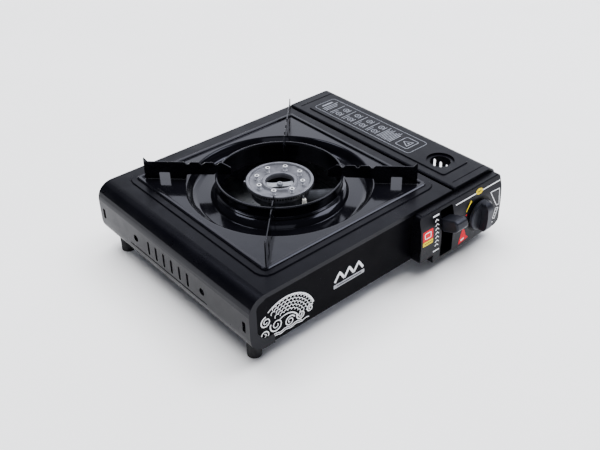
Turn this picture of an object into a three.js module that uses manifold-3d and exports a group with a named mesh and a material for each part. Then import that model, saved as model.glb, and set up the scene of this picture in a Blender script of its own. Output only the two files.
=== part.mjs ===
// Portable cartridge camping stove, in millimetres. X runs to the right, Y to the back, Z up.
// The origin is the centre of the whole part's box in X and Y, and the height of the feet's soles.
import * as THREE from "three";
import { mergeVertices } from "three/addons/utils/BufferGeometryUtils.js";
import Module from "manifold-3d";

const wasm = await Module();
wasm.setup();

// ---------------------------------------------------------------- driving dimensions
const HALF_WIDTH = 171; // the left wall's outer face, and the lid hinge's outermost point
const BODY_DEPTH = 262;
const LEVER_REACH = 33.75; // how far the lever stands in front of the body
const GAP = 0.3; // clearance between pieces that touch
const SHEET = 1.0; // case sheet
const BLADE = 1.2; // pot support sheet

const LEFT = -HALF_WIDTH;
const FRONT = -(BODY_DEPTH + LEVER_REACH) / 2 + LEVER_REACH;
const BACK = FRONT + BODY_DEPTH;
const DECK_Z = 81; // top of the deck
const BOTTOM_Z = 18.7; // lower edge of the case
const BAY_Z = 12.5; // underside of the cartridge bay
const CASE_BEND = 18; // outer bend of the case's left side
const WALL_X = 167.2; // outer face of the right wall
const DECK_END_X = 100; // where the deck turns down beside the lid
const PLATEAU_Z = DECK_Z + 1.3;

const PAN_X = LEFT + 147.8;
const PAN_HALF = 110;
const PAN_RIM_IN = 106.5;
const PAN_FLAT_Z = 82;
const PAN_SHEET = 0.8;
const RING_RIM_R = 67.8;
const RING_TOP_Z = 93;

const BURNER_AIM = -35.5; // mixing tube's direction seen from above, in degrees
const TUBE_Z = 58;
const CAP_R = 36.3;
const CAP_TOP_Z = 85;

const KNOB_X = 131;
const KNOB_Z = 44;
const HOUSING = { x0: 39, x1: 168.5, z0: 13, z1: 77, wall: 2 };
const SLOT = { x0: 70, x1: 89, z0: 17, z1: 73 };
const LEVER_PIVOT = { y: FRONT + 14, z: 45 };
const LEVER_THROW = THREE.MathUtils.degToRad(42);
const CRANK_R = 12; // pivot to the stud that drives the carriage

const HINGE = { x: 169.3, z: 64.5, r: 1.7 };
const LID = { x0: DECK_END_X + 1.5, x1: 170.6, top: 82, bend: 12, skirtZ: 69.5 };
const KNUCKLES = [FRONT + 40, FRONT + 222];

const FOOT_R = 7.25;
const ROUND = 18; // facets of a small round part
const LARGE_ROUND = 44; // facets of the pan, ring and cap

const PAN_Y = FRONT + 133.6;

// ---------------------------------------------------------------- materials
const paint = { color: 0x15171c, roughness: 0.45, metalness: 0.2 };
const enamel = { color: 0x08090c, roughness: 0.12, metalness: 0.1 };
const blackPlastic = { color: 0x111214, roughness: 0.5, metalness: 0.0 };
const rubber = { color: 0x1c1c1e, roughness: 0.85, metalness: 0.0 };
const castAluminium = { color: 0xa9acb0, roughness: 0.4, metalness: 0.9 };
const zincPlate = { color: 0xb4b8bb, roughness: 0.35, metalness: 0.9 };
const brass = { color: 0xb5934a, roughness: 0.3, metalness: 0.95 };
const ceramic = { color: 0xf1efe8, roughness: 0.35, metalness: 0.0 };
const wireSleeve = { color: 0xc8c4b8, roughness: 0.7, metalness: 0.0 };

const group = new THREE.Group();
group.name = "camping_stove";

// ---------------------------------------------------------------- solids
function toSolid(geometry) {
  const bare = geometry.clone();
  bare.deleteAttribute("normal");
  bare.deleteAttribute("uv");
  const merged = mergeVertices(bare, 1e-4);
  return new wasm.Manifold(
    new wasm.Mesh({
      numProp: 3,
      vertProperties: new Float32Array(merged.attributes.position.array),
      triVerts: new Uint32Array(merged.index.array),
    }),
  );
}

function toGeometry(solid) {
  const mesh = solid.getMesh();
  const geometry = new THREE.BufferGeometry();
  geometry.setAttribute("position", new THREE.BufferAttribute(new Float32Array(mesh.vertProperties), 3));
  geometry.setIndex(new THREE.BufferAttribute(new Uint32Array(mesh.triVerts), 1));
  const flat = geometry.toNonIndexed();
  flat.computeVertexNormals();
  return flat;
}

function addPart(name, solid, look) {
  const mesh = new THREE.Mesh(toGeometry(solid), new THREE.MeshStandardMaterial(look));
  mesh.name = name;
  group.add(mesh);
}

const joined = (...solids) => solids.reduce((all, next) => all.add(next));
const cut = (solid, ...tools) => tools.reduce((rest, tool) => rest.subtract(tool), solid);

// Corners are [x, y] or [x, y, fillet radius]. Returns the outline with its fillets stepped.
function filleted(corners, closed = true, steps = 3) {
  const out = [];
  corners.forEach(([x, y, radius], i) => {
    const here = new THREE.Vector2(x, y);
    const last = corners[(i + corners.length - 1) % corners.length];
    const next = corners[(i + 1) % corners.length];
    if (!radius || (!closed && (i === 0 || i === corners.length - 1))) {
      out.push(here);
      return;
    }
    const back = new THREE.Vector2(last[0], last[1]).sub(here).normalize();
    const ahead = new THREE.Vector2(next[0], next[1]).sub(here).normalize();
    const half = Math.acos(THREE.MathUtils.clamp(back.dot(ahead), -1, 1)) / 2;
    const inward = back.clone().add(ahead).normalize();
    const centre = here.clone().add(inward.multiplyScalar(radius / Math.sin(half)));
    const from = here.clone().addScaledVector(back, radius / Math.tan(half)).sub(centre);
    const to = here.clone().addScaledVector(ahead, radius / Math.tan(half)).sub(centre);
    let sweep = to.angle() - from.angle();
    if (sweep > Math.PI) sweep -= 2 * Math.PI;
    if (sweep < -Math.PI) sweep += 2 * Math.PI;
    for (let s = 0; s <= steps; s++) {
      out.push(from.clone().rotateAround(new THREE.Vector2(), (sweep * s) / steps).add(centre));
    }
  });
  return out;
}

// Closed outline of a bent sheet: an open path and the same path moved to its left by the thickness.
function bentSheet(path, thickness) {
  const inner = path.map((point, i) => {
    const before = path[Math.max(i - 1, 0)];
    const after = path[Math.min(i + 1, path.length - 1)];
    const inDir = i > 0 ? point.clone().sub(before).normalize() : after.clone().sub(point).normalize();
    const outDir = i < path.length - 1 ? after.clone().sub(point).normalize() : inDir.clone();
    const normal = new THREE.Vector2(-(inDir.y + outDir.y), inDir.x + outDir.x).normalize();
    const miter = normal.dot(new THREE.Vector2(-inDir.y, inDir.x));
    return point.clone().addScaledVector(normal, thickness / miter);
  });
  return [...path, ...inner.reverse()];
}

function extrude(outline, depth, holes = [], bevel = 0) {
  const shape = new THREE.Shape(outline);
  holes.forEach((hole) => shape.holes.push(new THREE.Path(hole)));
  return new THREE.ExtrudeGeometry(shape, {
    depth: depth - 2 * bevel,
    bevelEnabled: bevel > 0,
    bevelThickness: bevel,
    bevelSize: bevel,
    bevelOffset: -bevel,
    bevelSegments: 1,
    curveSegments: 1,
  }).translate(0, 0, bevel);
}

// An outline drawn in XY, XZ or YZ, pushed along the third axis from a to b.
const alongZ = (outline, a, b, holes, bevel) =>
  toSolid(extrude(outline, b - a, holes, bevel).translate(0, 0, a));
const alongY = (outline, a, b, holes, bevel) =>
  toSolid(extrude(outline, b - a, holes, bevel).rotateX(Math.PI / 2).translate(0, b, 0));
const alongX = (outline, a, b, holes, bevel) =>
  toSolid(extrude(outline, b - a, holes, bevel).rotateX(Math.PI / 2).rotateZ(Math.PI / 2).translate(a, 0, 0));

const rect = (x0, y0, x1, y1, r = 0) =>
  filleted([[x0, y0, r], [x1, y0, r], [x1, y1, r], [x0, y1, r]], true, r > 3 ? 3 : 2);
const square = (half, r = 0) => rect(PAN_X - half, PAN_Y - half, PAN_X + half, PAN_Y + half, r);
const box = (x0, y0, z0, x1, y1, z1) => alongZ(rect(x0, y0, x1, y1), z0, z1);

function circle(x, y, r, facets = ROUND) {
  const points = [];
  for (let i = 0; i < facets; i++) {
    const angle = (2 * Math.PI * i) / facets;
    points.push(new THREE.Vector2(x + r * Math.cos(angle), y + r * Math.sin(angle)));
  }
  return points;
}

const rodZ = (x, y, r, a, b, facets) => alongZ(circle(x, y, r, facets), a, b);
const rodY = (x, z, r, a, b, facets) => alongY(circle(x, z, r, facets), a, b);
const rodX = (y, z, r, a, b, facets) => alongX(circle(y, z, r, facets), a, b);

// A profile of [radius, z], anticlockwise, turned about a vertical axis at x, y.
// It either starts and ends on the axis or is closed here.
function turned(profile, x, y, facets = LARGE_ROUND) {
  const points = profile.map(([r, z]) => new THREE.Vector2(r, z));
  if (profile[0][0] > 0) points.push(points[0].clone());
  const solid = toSolid(new THREE.LatheGeometry(points, facets).rotateX(Math.PI / 2));
  if (solid.volume() <= 0) throw new Error("a profile runs the wrong way round");
  return solid.translate([x, y, 0]);
}

// A round bar along a curve through the given points.
function bar(points, r, steps, facets = 10) {
  const curve = new THREE.CatmullRomCurve3(points.map((p) => new THREE.Vector3(...p)), false, "centripetal");
  const section = new THREE.Shape(circle(0, 0, r, facets));
  return toSolid(new THREE.ExtrudeGeometry(section, { steps, extrudePath: curve, bevelEnabled: false }));
}

// ---------------------------------------------------------------- case
const SLOT_WIDTH = 3.5;
const LEFT_VENTS = { z0: 41.6, z1: 58, first: 96.8, pitch: 13.7, count: 6 };
const BAY_VENTS = { z0: 38, z1: 57, first: 62, pitch: 9.2, count: 11 };
const END_SLOTS = { z0: 42.3, z1: 54.4, width: 4.5, inset: 8.5 };
const WALL_HOLES = { z: 49.5, r: 4, from: [73.1, 189.6] };
const FOOT_INSET = { side: 16, front: 17, back: 19 };
const SCREW_HOLE_R = 2.1;
const feet = {
  front_left: { x: LEFT + FOOT_INSET.side, y: FRONT + FOOT_INSET.front, top: BOTTOM_Z },
  back_left: { x: LEFT + FOOT_INSET.side, y: BACK - FOOT_INSET.back, top: BOTTOM_Z },
  front_right: { x: WALL_X - FOOT_INSET.side, y: FRONT + FOOT_INSET.front, top: BAY_Z },
  back_right: { x: WALL_X - FOOT_INSET.side, y: BACK - FOOT_INSET.back, top: BAY_Z },
};
const footHoles = Object.values(feet).map((f) => rodZ(f.x, f.y, SCREW_HOLE_R, 1, 30, 12));
const FACE_SCREWS = { front: [[91, 73.4]], back: [[LEFT + 24, 69], [88, 69]] };

// Outer surface of the case from the lid side over the deck and round the left wall.
function casePath(grow = 0) {
  return filleted([
    [DECK_END_X + grow, DECK_Z - 14],
    [DECK_END_X + grow, DECK_Z + grow, 2.5 + grow],
    [LEFT - grow, DECK_Z + grow, CASE_BEND + grow],
    [LEFT - grow, BOTTOM_Z - grow, CASE_BEND + grow],
    [LEFT + 28, BOTTOM_Z - grow],
  ], false, 6);
}

// The rim at each end: a band as wide as the case's rolled edge, deeper along the bottom.
function caseRim(a, b) {
  const band = alongY(bentSheet(casePath(), 5), a, b);
  const left = alongY(filleted([
    [LEFT, 40], [LEFT, BOTTOM_Z, CASE_BEND], [LEFT + 28, BOTTOM_Z], [LEFT + 28, BOTTOM_Z + 11, 3],
    [LEFT + 16, BOTTOM_Z + 11, 7], [LEFT + 8.5, 40], [LEFT + 8.5, DECK_Z - 10, 6], [LEFT + 20, DECK_Z - 5],
    [LEFT + 20, DECK_Z], [LEFT, DECK_Z, CASE_BEND],
  ]), a, b);
  return band.add(left);
}

function wallSlots(vents, x0, x1) {
  const tools = [];
  for (let i = 0; i < vents.count; i++) {
    const y = FRONT + vents.first + i * vents.pitch;
    tools.push(alongX(rect(y - SLOT_WIDTH / 2, vents.z0, y + SLOT_WIDTH / 2, vents.z1, 1.6), x0, x1));
  }
  return tools;
}

function casingTop() {
  const shell = alongY(bentSheet(casePath(), SHEET), FRONT, BACK);
  const plateau = alongZ(square(117.5, 13), DECK_Z - SHEET, PLATEAU_Z, [], 0.9);
  const groove = box(LEFT - 1, FRONT + 66.7, 37.2, LEFT + 0.5, FRONT + 201.8, 38.8);
  const endSlots = [FRONT + END_SLOTS.inset, BACK - END_SLOTS.inset].map((y) => {
    const outline = rect(y - END_SLOTS.width / 2, END_SLOTS.z0, y + END_SLOTS.width / 2, END_SLOTS.z1, 1);
    return alongX(outline, LEFT - 1, LEFT + 2);
  });
  const holes = WALL_HOLES.from.map((distance) =>
    rodX(FRONT + distance, WALL_HOLES.z, WALL_HOLES.r, LEFT - 1, LEFT + 2, 16));
  const opening = alongZ(square(PAN_RIM_IN + 0.7), DECK_Z - 5, DECK_Z + 5);
  return cut(
    joined(shell, plateau, caseRim(FRONT, FRONT + SHEET), caseRim(BACK - SHEET, BACK)),
    opening, groove, ...wallSlots(LEFT_VENTS, LEFT - 1, LEFT + 2), ...endSlots, ...holes, ...footHoles,
  );
}

// A plate that closes one end of the case, set in behind the rim and notched for the deck's turned-down end.
function endPanel(a, b) {
  const notch = { x0: DECK_END_X - SHEET - 0.6, x1: LID.x0 + SHEET + 0.6, z: DECK_Z - 15 };
  return alongY(filleted([
    [LEFT + 2, DECK_Z - 3, 15], [LEFT + 2, BOTTOM_Z + 3, 15], [LEFT + 28.3, BOTTOM_Z + 3],
    [LEFT + 28.3, BOTTOM_Z + 0.4], [89, BOTTOM_Z + 0.4], [96, BAY_Z + 0.4], [WALL_X - 1.5, BAY_Z + 0.4, 3],
    [WALL_X - 1.5, DECK_Z - 3, 10], [notch.x1, DECK_Z - 3], [notch.x1, notch.z], [notch.x0, notch.z],
    [notch.x0, DECK_Z - 3],
  ]), a, b);
}

function frontPanel() {
  const plate = endPanel(FRONT + SHEET + GAP, FRONT + 2 * SHEET + GAP);
  const shaftHole = rodY(KNOB_X, KNOB_Z, 6, FRONT, FRONT + 4, 16);
  const leverHole = box(SLOT.x0 + 4, FRONT, 28, SLOT.x1 - 4, FRONT + 4, 62);
  const screws = FACE_SCREWS.front.map(([x, z]) => rodY(x, z, SCREW_HOLE_R, FRONT, FRONT + 4, 12));
  return cut(plate, shaftHole, leverHole, ...screws);
}

function backPanel() {
  const plate = endPanel(BACK - 2 * SHEET - GAP, BACK - SHEET - GAP);
  const screws = FACE_SCREWS.back.map(([x, z]) => rodY(x, z, SCREW_HOLE_R, BACK - 4, BACK, 12));
  return cut(plate, ...screws);
}

const TRAY_Z = BOTTOM_Z + 1.8; // underside of the burner chamber's floor, above the case's wrap
const FLOOR_Z = TRAY_Z + SHEET;
const TRAY_FRONT = FRONT + 2 * SHEET + 2 * GAP;
const TRAY_BACK = BACK - 2 * SHEET - 2 * GAP;
const BAY_FLOOR_Z = BAY_Z + SHEET;

function trayPath() {
  return filleted([
    [LEFT + 13.2, TRAY_Z], [89, TRAY_Z, 3], [95, BAY_Z, 3], [WALL_X, BAY_Z, 6], [WALL_X, 72],
  ], false, 4);
}

function baseTray() {
  const sheet = alongY(bentSheet(trayPath(), SHEET), TRAY_FRONT, TRAY_BACK);
  const flanges = [TRAY_FRONT, TRAY_BACK - SHEET].flatMap((y) => [
    box(LEFT + 24, y, TRAY_Z + 0.4, 84, y + SHEET, TRAY_Z + 9),
    box(98, y, BAY_Z + 0.4, WALL_X - 7, y + SHEET, BAY_Z + 12)]);
  const ears = KNUCKLES.flatMap((y) => [y - 9.5, y + 8.3].map((at) => {
    const plate = alongY(rect(WALL_X - 0.5, HINGE.z - 2, HINGE.x + 1.6, HINGE.z + 2, 1.2), at, at + 1.2);
    return plate.subtract(rodY(HINGE.x, HINGE.z, 1.05, at - 1, at + 3, 12));
  }));
  const rivets = [-40, 60].map((y) => rodZ(30, y, 3, FLOOR_Z - 0.5, FLOOR_Z + 0.8, 12));
  return cut(
    joined(sheet, ...flanges, ...ears, ...rivets),
    ...wallSlots(BAY_VENTS, WALL_X - 3, WALL_X + 1), ...footHoles, ...bracketHoles, ...supportHoles,
  );
}

const PARTITION_X = 82;
const PARTITION_TOP = 46;
function partition() {
  const sheet = alongY(bentSheet(filleted([
    [PARTITION_X - 9, FLOOR_Z + GAP], [PARTITION_X, FLOOR_Z + GAP, 2.5], [PARTITION_X + 5, PARTITION_TOP],
  ], false, 3), SHEET), FRONT + 66, BACK - 10);
  return sheet.subtract(box(PARTITION_X - 5, FRONT + 200, 30, PARTITION_X + 10, FRONT + 224, 38));
}

function foot({ x, y, top }) {
  const post = rodZ(x, y, FOOT_R, 0, top + (top === BOTTOM_Z ? 6 : -GAP));
  const shaped = cut(post, rodZ(x, y, 4, -1, 5, 16), rodZ(x, y, 1.9, 0, 30, 12));
  if (top !== BOTTOM_Z) return shaped;
  const bodyOutline = filleted([
    [LEFT - GAP, DECK_Z], [LEFT - GAP, BOTTOM_Z - GAP, CASE_BEND + GAP],
    [LEFT + 60, BOTTOM_Z - GAP], [LEFT + 60, DECK_Z],
  ], true, 6);
  return shaped.subtract(alongY(bodyOutline, y - 20, y + 20));
}

// A pan-head screw pointing along +Z from the head's outer face at the origin.
function screw(headR, headHeight, shankR, length) {
  const turning = turned([
    [0, 0], [headR - 0.7, 0], [headR, 0.8], [headR, headHeight],
    [shankR, headHeight], [shankR, length], [0, length],
  ], 0, 0, 10);
  const arm = headR * 0.6;
  return cut(turning, box(-arm, -0.4, -1, arm, 0.4, 0.9), box(-0.4, -arm, -1, 0.4, arm, 0.9));
}
const screwUp = (x, y, z, ...size) => screw(...size).translate([x, y, z]);
const screwDown = (x, y, z, ...size) => screw(...size).rotate([180, 0, 0]).translate([x, y, z]);
const screwBackward = (x, y, z, ...size) => screw(...size).rotate([-90, 0, 0]).translate([x, y, z]);
const screwForward = (x, y, z, ...size) => screw(...size).rotate([90, 0, 0]).translate([x, y, z]);

// ---------------------------------------------------------------- cooking top
const MOAT_Z = 70; // bottom of the round channel
const COLLAR_TOP = 79.2;
const COLLAR_R = 68.4;

function dripPan() {
  const t = PAN_SHEET;
  const rimHole = square(PAN_RIM_IN - 1.5).reverse();
  const rim = alongZ(square(PAN_HALF), PLATEAU_Z + GAP, PAN_FLAT_Z + 2, [rimHole], 0.5);
  const riserHole = square(PAN_RIM_IN - 1).reverse();
  const riser = alongZ(square(PAN_RIM_IN), PAN_FLAT_Z - t, PLATEAU_Z + 2 * GAP, [riserHole]);
  const moatHole = circle(PAN_X, PAN_Y, 99.6, LARGE_ROUND).reverse();
  const flat = alongZ(square(PAN_RIM_IN), PAN_FLAT_Z - t, PAN_FLAT_Z, [moatHole]);
  const moat = turned([
    [100.4, PAN_FLAT_Z - t], [100.4, PAN_FLAT_Z], [99, PAN_FLAT_Z], [96.6, 80.6], [93.6, 74.5],
    [90, MOAT_Z + 0.8], [86, MOAT_Z], [76, MOAT_Z], [72.6, MOAT_Z + 1.2], [70.6, MOAT_Z + 4],
    [COLLAR_R + t, COLLAR_TOP], [COLLAR_R, COLLAR_TOP],
    [69.6, MOAT_Z + 4], [71.8, MOAT_Z + 0.6], [75.5, MOAT_Z - t], [86.4, MOAT_Z - t], [90.6, MOAT_Z],
    [94.4, 74.1], [97.2, 79.9], [99, PAN_FLAT_Z - t],
  ], PAN_X, PAN_Y);
  const ribs = [pressedRib(-RIB.out, RIB.along, 90), pressedRib(RIB.along, -RIB.out, 0)];
  return joined(rim, riser, flat, moat, ...ribs);
}

// A short raised rib along the pan's edge. Two of them mirror each other across the pan's diagonal.
const RIB = { out: 104, along: 69, halfLength: 9, halfWidth: 0.8, height: 0.9 };
function pressedRib(x, y, turn) {
  const rib = box(-RIB.halfLength, -RIB.halfWidth, PAN_FLAT_Z - 0.3, RIB.halfLength, RIB.halfWidth,
    PAN_FLAT_Z + RIB.height);
  return rib.rotate([0, 0, turn]).translate([PAN_X + x, PAN_Y + y, 0]);
}

const FLANGE_R = COLLAR_R + PAN_SHEET + 0.2; // the bead that rests on the pan's collar
function windRing() {
  const tube = turned([
    [65.2, MOAT_Z + 0.5], [66.2, MOAT_Z + 0.5], [66.8, COLLAR_TOP + GAP], [FLANGE_R, COLLAR_TOP + GAP],
    [FLANGE_R, COLLAR_TOP + 1.1], [67, COLLAR_TOP + 1.9], [66.6, RING_TOP_Z - 3],
    [RING_RIM_R, RING_TOP_Z - 2.4], [RING_RIM_R, RING_TOP_Z - 0.6], [66.9, RING_TOP_Z],
    [65.6, RING_TOP_Z], [64.9, RING_TOP_Z - 0.8], [65.6, RING_TOP_Z - 3], [65.8, COLLAR_TOP + 1],
  ], PAN_X, PAN_Y);
  const notches = supportAngles.map((angle) => onDiagonal(
    alongY(rect(60, RING_TOP_Z - 4, 75, RING_TOP_Z + 2), -BLADE / 2 - GAP, BLADE / 2 + GAP), angle));
  return cut(tube, ...notches);
}

// Pot supports are drawn by distance from the burner's axis and height, then turned to a corner.
const supports = { front_right: -45, back_right: 45, back_left: 135, front_left: -135 };
const supportAngles = Object.values(supports);
const onDiagonal = (solid, angle) => solid.rotate([0, 0, angle]).translate([PAN_X, PAN_Y, 0]);
const SUPPORT = { inner: 51, outer: 144.5, top: 103.4, tip: 108, under: 89.2, footIn: 100, notchDepth: 2.8 };

function potSupport(angle) {
  const s = SUPPORT;
  const notchZ = s.top - s.notchDepth;
  const notch = (at) => [[at + 3.4, s.top], [at + 0.8, notchZ], [at - 0.8, notchZ], [at - 3.4, s.top]];
  const window = { x0: 117.4, x1: 128.8, z: 90.4 };
  const footZ = PAN_FLAT_Z + GAP;
  const blade = alongY(filleted([
    [s.inner, s.under, 1.5], [65.3, s.under, 1], [66.4, RING_TOP_Z - 3], [68.8, RING_TOP_Z - 3],
    [69.4, s.under - 0.4, 1], [s.footIn - 1, s.under - 0.8, 2.5], [s.footIn, footZ],
    [window.x0, footZ], [window.x0, window.z, 1], [window.x1, window.z, 1], [window.x1, footZ],
    [s.outer, footZ], [s.outer, s.tip - 1.5], [s.outer - 0.7, s.tip], [s.outer - 1.4, s.tip - 0.8],
    [s.outer - 4.5, s.top], ...notch(97.5), ...notch(82.3), ...notch(66.6),
    [60.5, s.top + 0.3, 2], [s.inner, s.top - 5.6, 1.2],
  ], true, 3), -BLADE / 2, BLADE / 2);
  return onDiagonal(blade, angle);
}

// ---------------------------------------------------------------- burner
const aimed = (solid) => solid.rotate([0, 0, BURNER_AIM]).translate([PAN_X, PAN_Y, 0]);
const TUBE = { r: 9, bore: 7.6, length: 138 };
const BOWL = { r: 31, floor: 48, top: 75 };
const CAP_SKIRT_Z = 76;

function burnerBody() {
  const bowl = turned([
    [0, BOWL.floor], [19, BOWL.floor], [22, BOWL.floor + 3], [22, 64],
    [BOWL.r, 68], [BOWL.r, BOWL.top], [0, BOWL.top],
  ], 0, 0, 28);
  const cavity = turned([
    [0, BOWL.floor + 2.5], [18, BOWL.floor + 2.5], [19.6, BOWL.floor + 4.5], [19.6, 65], [BOWL.r - 2.4, 69.4],
    [BOWL.r - 2.4, BOWL.top + 1], [0, BOWL.top + 1],
  ], 0, 0, 28);
  const tube = rodX(0, TUBE_Z, TUBE.r, 0, TUBE.length, ROUND);
  const flare = rodX(0, TUBE_Z, TUBE.r + 1, TUBE.length - 6, TUBE.length, ROUND);
  const bore = rodX(0, TUBE_Z, TUBE.bore, 0, TUBE.length + 1, ROUND);
  const post = rodZ(0, 0, 5, BOWL.floor + 1, 73, 16);
  return aimed(cut(joined(cut(joined(bowl, tube, flare), cavity, bore), post), rodZ(0, 0, 1.8, 60, 80, 12)));
}

const JETS = { count: 8, r: 25, start: -9, postR: 2.2, holeR: 0.8, top: CAP_TOP_Z + 1.5 };
const TEETH = 32;

function burnerCap() {
  const disc = turned([
    [15, 77.4], [18.2, CAP_SKIRT_Z + 0.8], [28, CAP_SKIRT_Z + 0.2], [30.5, CAP_SKIRT_Z - 0.7],
    [32.4, CAP_SKIRT_Z - 0.7], [32.6, 78.6], [CAP_R - 0.8, 79.4], [CAP_R, 80.4],
    [CAP_R, CAP_TOP_Z - 0.8], [CAP_R - 0.8, CAP_TOP_Z],
    [33.6, CAP_TOP_Z], [32.4, 83.4], [20.4, 80.2], [18, 82.8], [16.6, 83], [15, 81.6],
  ], 0, 0, 36);
  const posts = [];
  const bores = [];
  for (let i = 0; i < JETS.count; i++) {
    const angle = THREE.MathUtils.degToRad(JETS.start + (360 / JETS.count) * i);
    const [x, y] = [JETS.r * Math.cos(angle), JETS.r * Math.sin(angle)];
    posts.push(rodZ(x, y, JETS.postR, 79, JETS.top, 8));
    bores.push(rodZ(x, y, JETS.holeR, JETS.top - 3, JETS.top + 1, 4));
  }
  const gaps = [];
  for (let i = 0; i < TEETH; i++) {
    gaps.push(box(31.6, -0.9, CAP_SKIRT_Z - 2, 34, 0.9, 77.6).rotate([0, 0, (360 / TEETH) * i]));
  }
  const lug = box(35, -1.6, 80.6, 39, 1.6, 83).rotate([0, 0, 140]);
  return cut(joined(disc, ...posts, lug), ...bores, ...gaps).translate([PAN_X, PAN_Y, 0]);
}

const CROSSBAR_Z = 76.9;
function burnerCrossbar() {
  const strip = alongY(bentSheet([
    [-14.4, CROSSBAR_Z + 1.2], [-8, CROSSBAR_Z], [8, CROSSBAR_Z], [14.4, CROSSBAR_Z + 1.2],
  ].map(([x, z]) => new THREE.Vector2(x, z)), 1.2), -4, 4);
  return aimed(strip.subtract(rodZ(0, 0, 1.9, 70, 85, 12)));
}

const burnerScrew = () => screwDown(PAN_X, PAN_Y, CROSSBAR_Z + 1.2 + GAP + 1.9, 3.4, 1.9, 1.5, 14);

const BRACKET = { half: 13, depth: 10, foot: 10, t: 1.2 };
const bracketFeet = [-1, 1].map((side) => ({ x: PAN_X + side * (BRACKET.half + 6), y: PAN_Y }));
const bracketHoles = bracketFeet.map(({ x, y }) => rodZ(x, y, 1.7, 15, 40, 12));

// A hat-shaped strip that carries the bowl on the floor.
function burnerBracket() {
  const top = BOWL.floor - GAP;
  const floor = FLOOR_Z + GAP;
  const path = [
    [BRACKET.half + BRACKET.foot, floor], [BRACKET.half, floor], [BRACKET.half, top - BRACKET.t],
    [-BRACKET.half, top - BRACKET.t], [-BRACKET.half, floor], [-BRACKET.half - BRACKET.foot, floor],
  ].map(([x, z]) => new THREE.Vector2(PAN_X + x, z)).reverse();
  const hat = alongY(bentSheet(path, BRACKET.t), PAN_Y - BRACKET.depth, PAN_Y + BRACKET.depth);
  return cut(hat, ...bracketHoles);
}

const ELECTRODE = { x: PAN_X - 1, y: PAN_Y - 40.5, z0: 54, z1: 79.5, clipZ: 61 };
function electrodeInsulator() {
  const e = ELECTRODE;
  const seat = e.clipZ + BRACKET.t + GAP;
  return turned([
    [1, e.z0], [2.3, e.z0], [2.6, e.z0 + 1], [2.6, seat], [4, seat], [4, seat + 3], [2.8, seat + 4],
    [2.6, e.z1 - 4], [1.8, e.z1], [1, e.z1],
  ], e.x, e.y, 16);
}

function electrodeRod() {
  const e = ELECTRODE;
  return bar([
    [e.x, e.y, e.z0 - 3], [e.x, e.y, e.z1], [e.x, e.y + 0.4, e.z1 + 2], [e.x, e.y + 2, e.z1 + 3.2],
  ], 0.7, 8, 8);
}

// Angle clip from the bowl's waist out to the insulator.
function electrodeClip() {
  const e = ELECTRODE;
  const waist = PAN_Y - 22 - GAP - BRACKET.t;
  const shelf = box(e.x - 4.5, e.y - 5, e.clipZ, e.x + 4.5, waist + BRACKET.t, e.clipZ + BRACKET.t);
  const leg = box(e.x - 4.5, waist, BOWL.floor + 5, e.x + 4.5, waist + BRACKET.t, e.clipZ + BRACKET.t);
  return cut(joined(shelf, leg), rodZ(e.x, e.y, 2.6 + GAP, 50, 70, 16));
}

// ---------------------------------------------------------------- gas train
const PORT = { x: 132.7, z: 47.5, r: 9 }; // the cartridge's axis, 33.5 mm from the wall's inner face
const REGULATOR = { x0: 112, x1: 150, y0: FRONT + 9, y1: FRONT + 44, z0: 29, z1: 64 };
const REG_PLATE_Y = REGULATOR.y1 + 1;
const REG_FOOT = { x0: 155, x1: 160, y: REG_PLATE_Y + 6 };
const supportHoles = [rodZ((REG_FOOT.x0 + REG_FOOT.x1) / 2, REG_FOOT.y, 1.2, 10, 20, 10)];

function regulatorBody() {
  const g = REGULATOR;
  const block = alongY(rect(g.x0, g.z0, g.x1, g.z1, 4), g.y0 + 3, g.y1);
  const boss = rodY(KNOB_X, KNOB_Z, 11, g.y0, g.y0 + 4);
  const port = rodY(PORT.x, PORT.z, PORT.r, g.y1 - 1, g.y1 + 5);
  const side = rodX((g.y0 + g.y1) / 2, KNOB_Z, 12, g.x1 - 1, g.x1 + 3);
  return cut(joined(block, boss, port, side), rodY(PORT.x, PORT.z, 6.6, g.y1 - 4, g.y1 + 6));
}

function regulatorBonnet() {
  const g = REGULATOR;
  const y = (g.y0 + g.y1) / 2;
  const flange = rodX(y, KNOB_Z, 14, g.x1 + 3 + GAP, g.x1 + 5.5);
  return flange.add(rodX(y, KNOB_Z, 9, g.x1 + 5, g.x1 + 11));
}

// Upright plate behind the regulator, with one leg down to the bay floor.
function regulatorBracket() {
  const t = BRACKET.t;
  const floor = BAY_FLOOR_Z + GAP;
  const plate = alongY(filleted([
    [REGULATOR.x0, 19, 2], [REG_FOOT.x0, 19], [REG_FOOT.x0, floor], [REG_FOOT.x1, floor],
    [REG_FOOT.x1, REGULATOR.z1 - 4, 5], [REGULATOR.x0, REGULATOR.z1 - 4, 5],
  ]), REG_PLATE_Y - 1 + GAP, REG_PLATE_Y - 1 + GAP + t);
  const toe = box(REG_FOOT.x0, REG_PLATE_Y, floor, REG_FOOT.x1, REG_FOOT.y + 4, floor + t);
  return cut(joined(plate, toe), rodY(PORT.x, PORT.z, PORT.r + GAP, FRONT, FRONT + 60), ...supportHoles);
}

function inletSeal() {
  const g = REGULATOR;
  const ring = rodY(PORT.x, PORT.z, 6.2, g.y1 - 3.7, g.y1 + 4);
  return cut(ring, rodY(PORT.x, PORT.z, 2.5, g.y1 - 5, g.y1 + 6, 16));
}

// Brass jet that blows into the mixing tube's open end.
function gasNozzle() {
  const tip = rodX(0, TUBE_Z, 3, TUBE.length - 8, TUBE.length + 4, 12);
  const stem = rodX(0, TUBE_Z, 4.6, TUBE.length + 3, TUBE.length + 40, 6);
  const bore = rodX(0, TUBE_Z, 0.8, TUBE.length - 9, TUBE.length - 2, 6);
  const g = REGULATOR;
  const stop = box(g.x0 - GAP, g.y0 - 20, g.z0 - 10, g.x1 + 40, g.y1 + 20, g.z1 + 10);
  return cut(aimed(cut(joined(tip, stem), bore)), stop);
}

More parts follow.
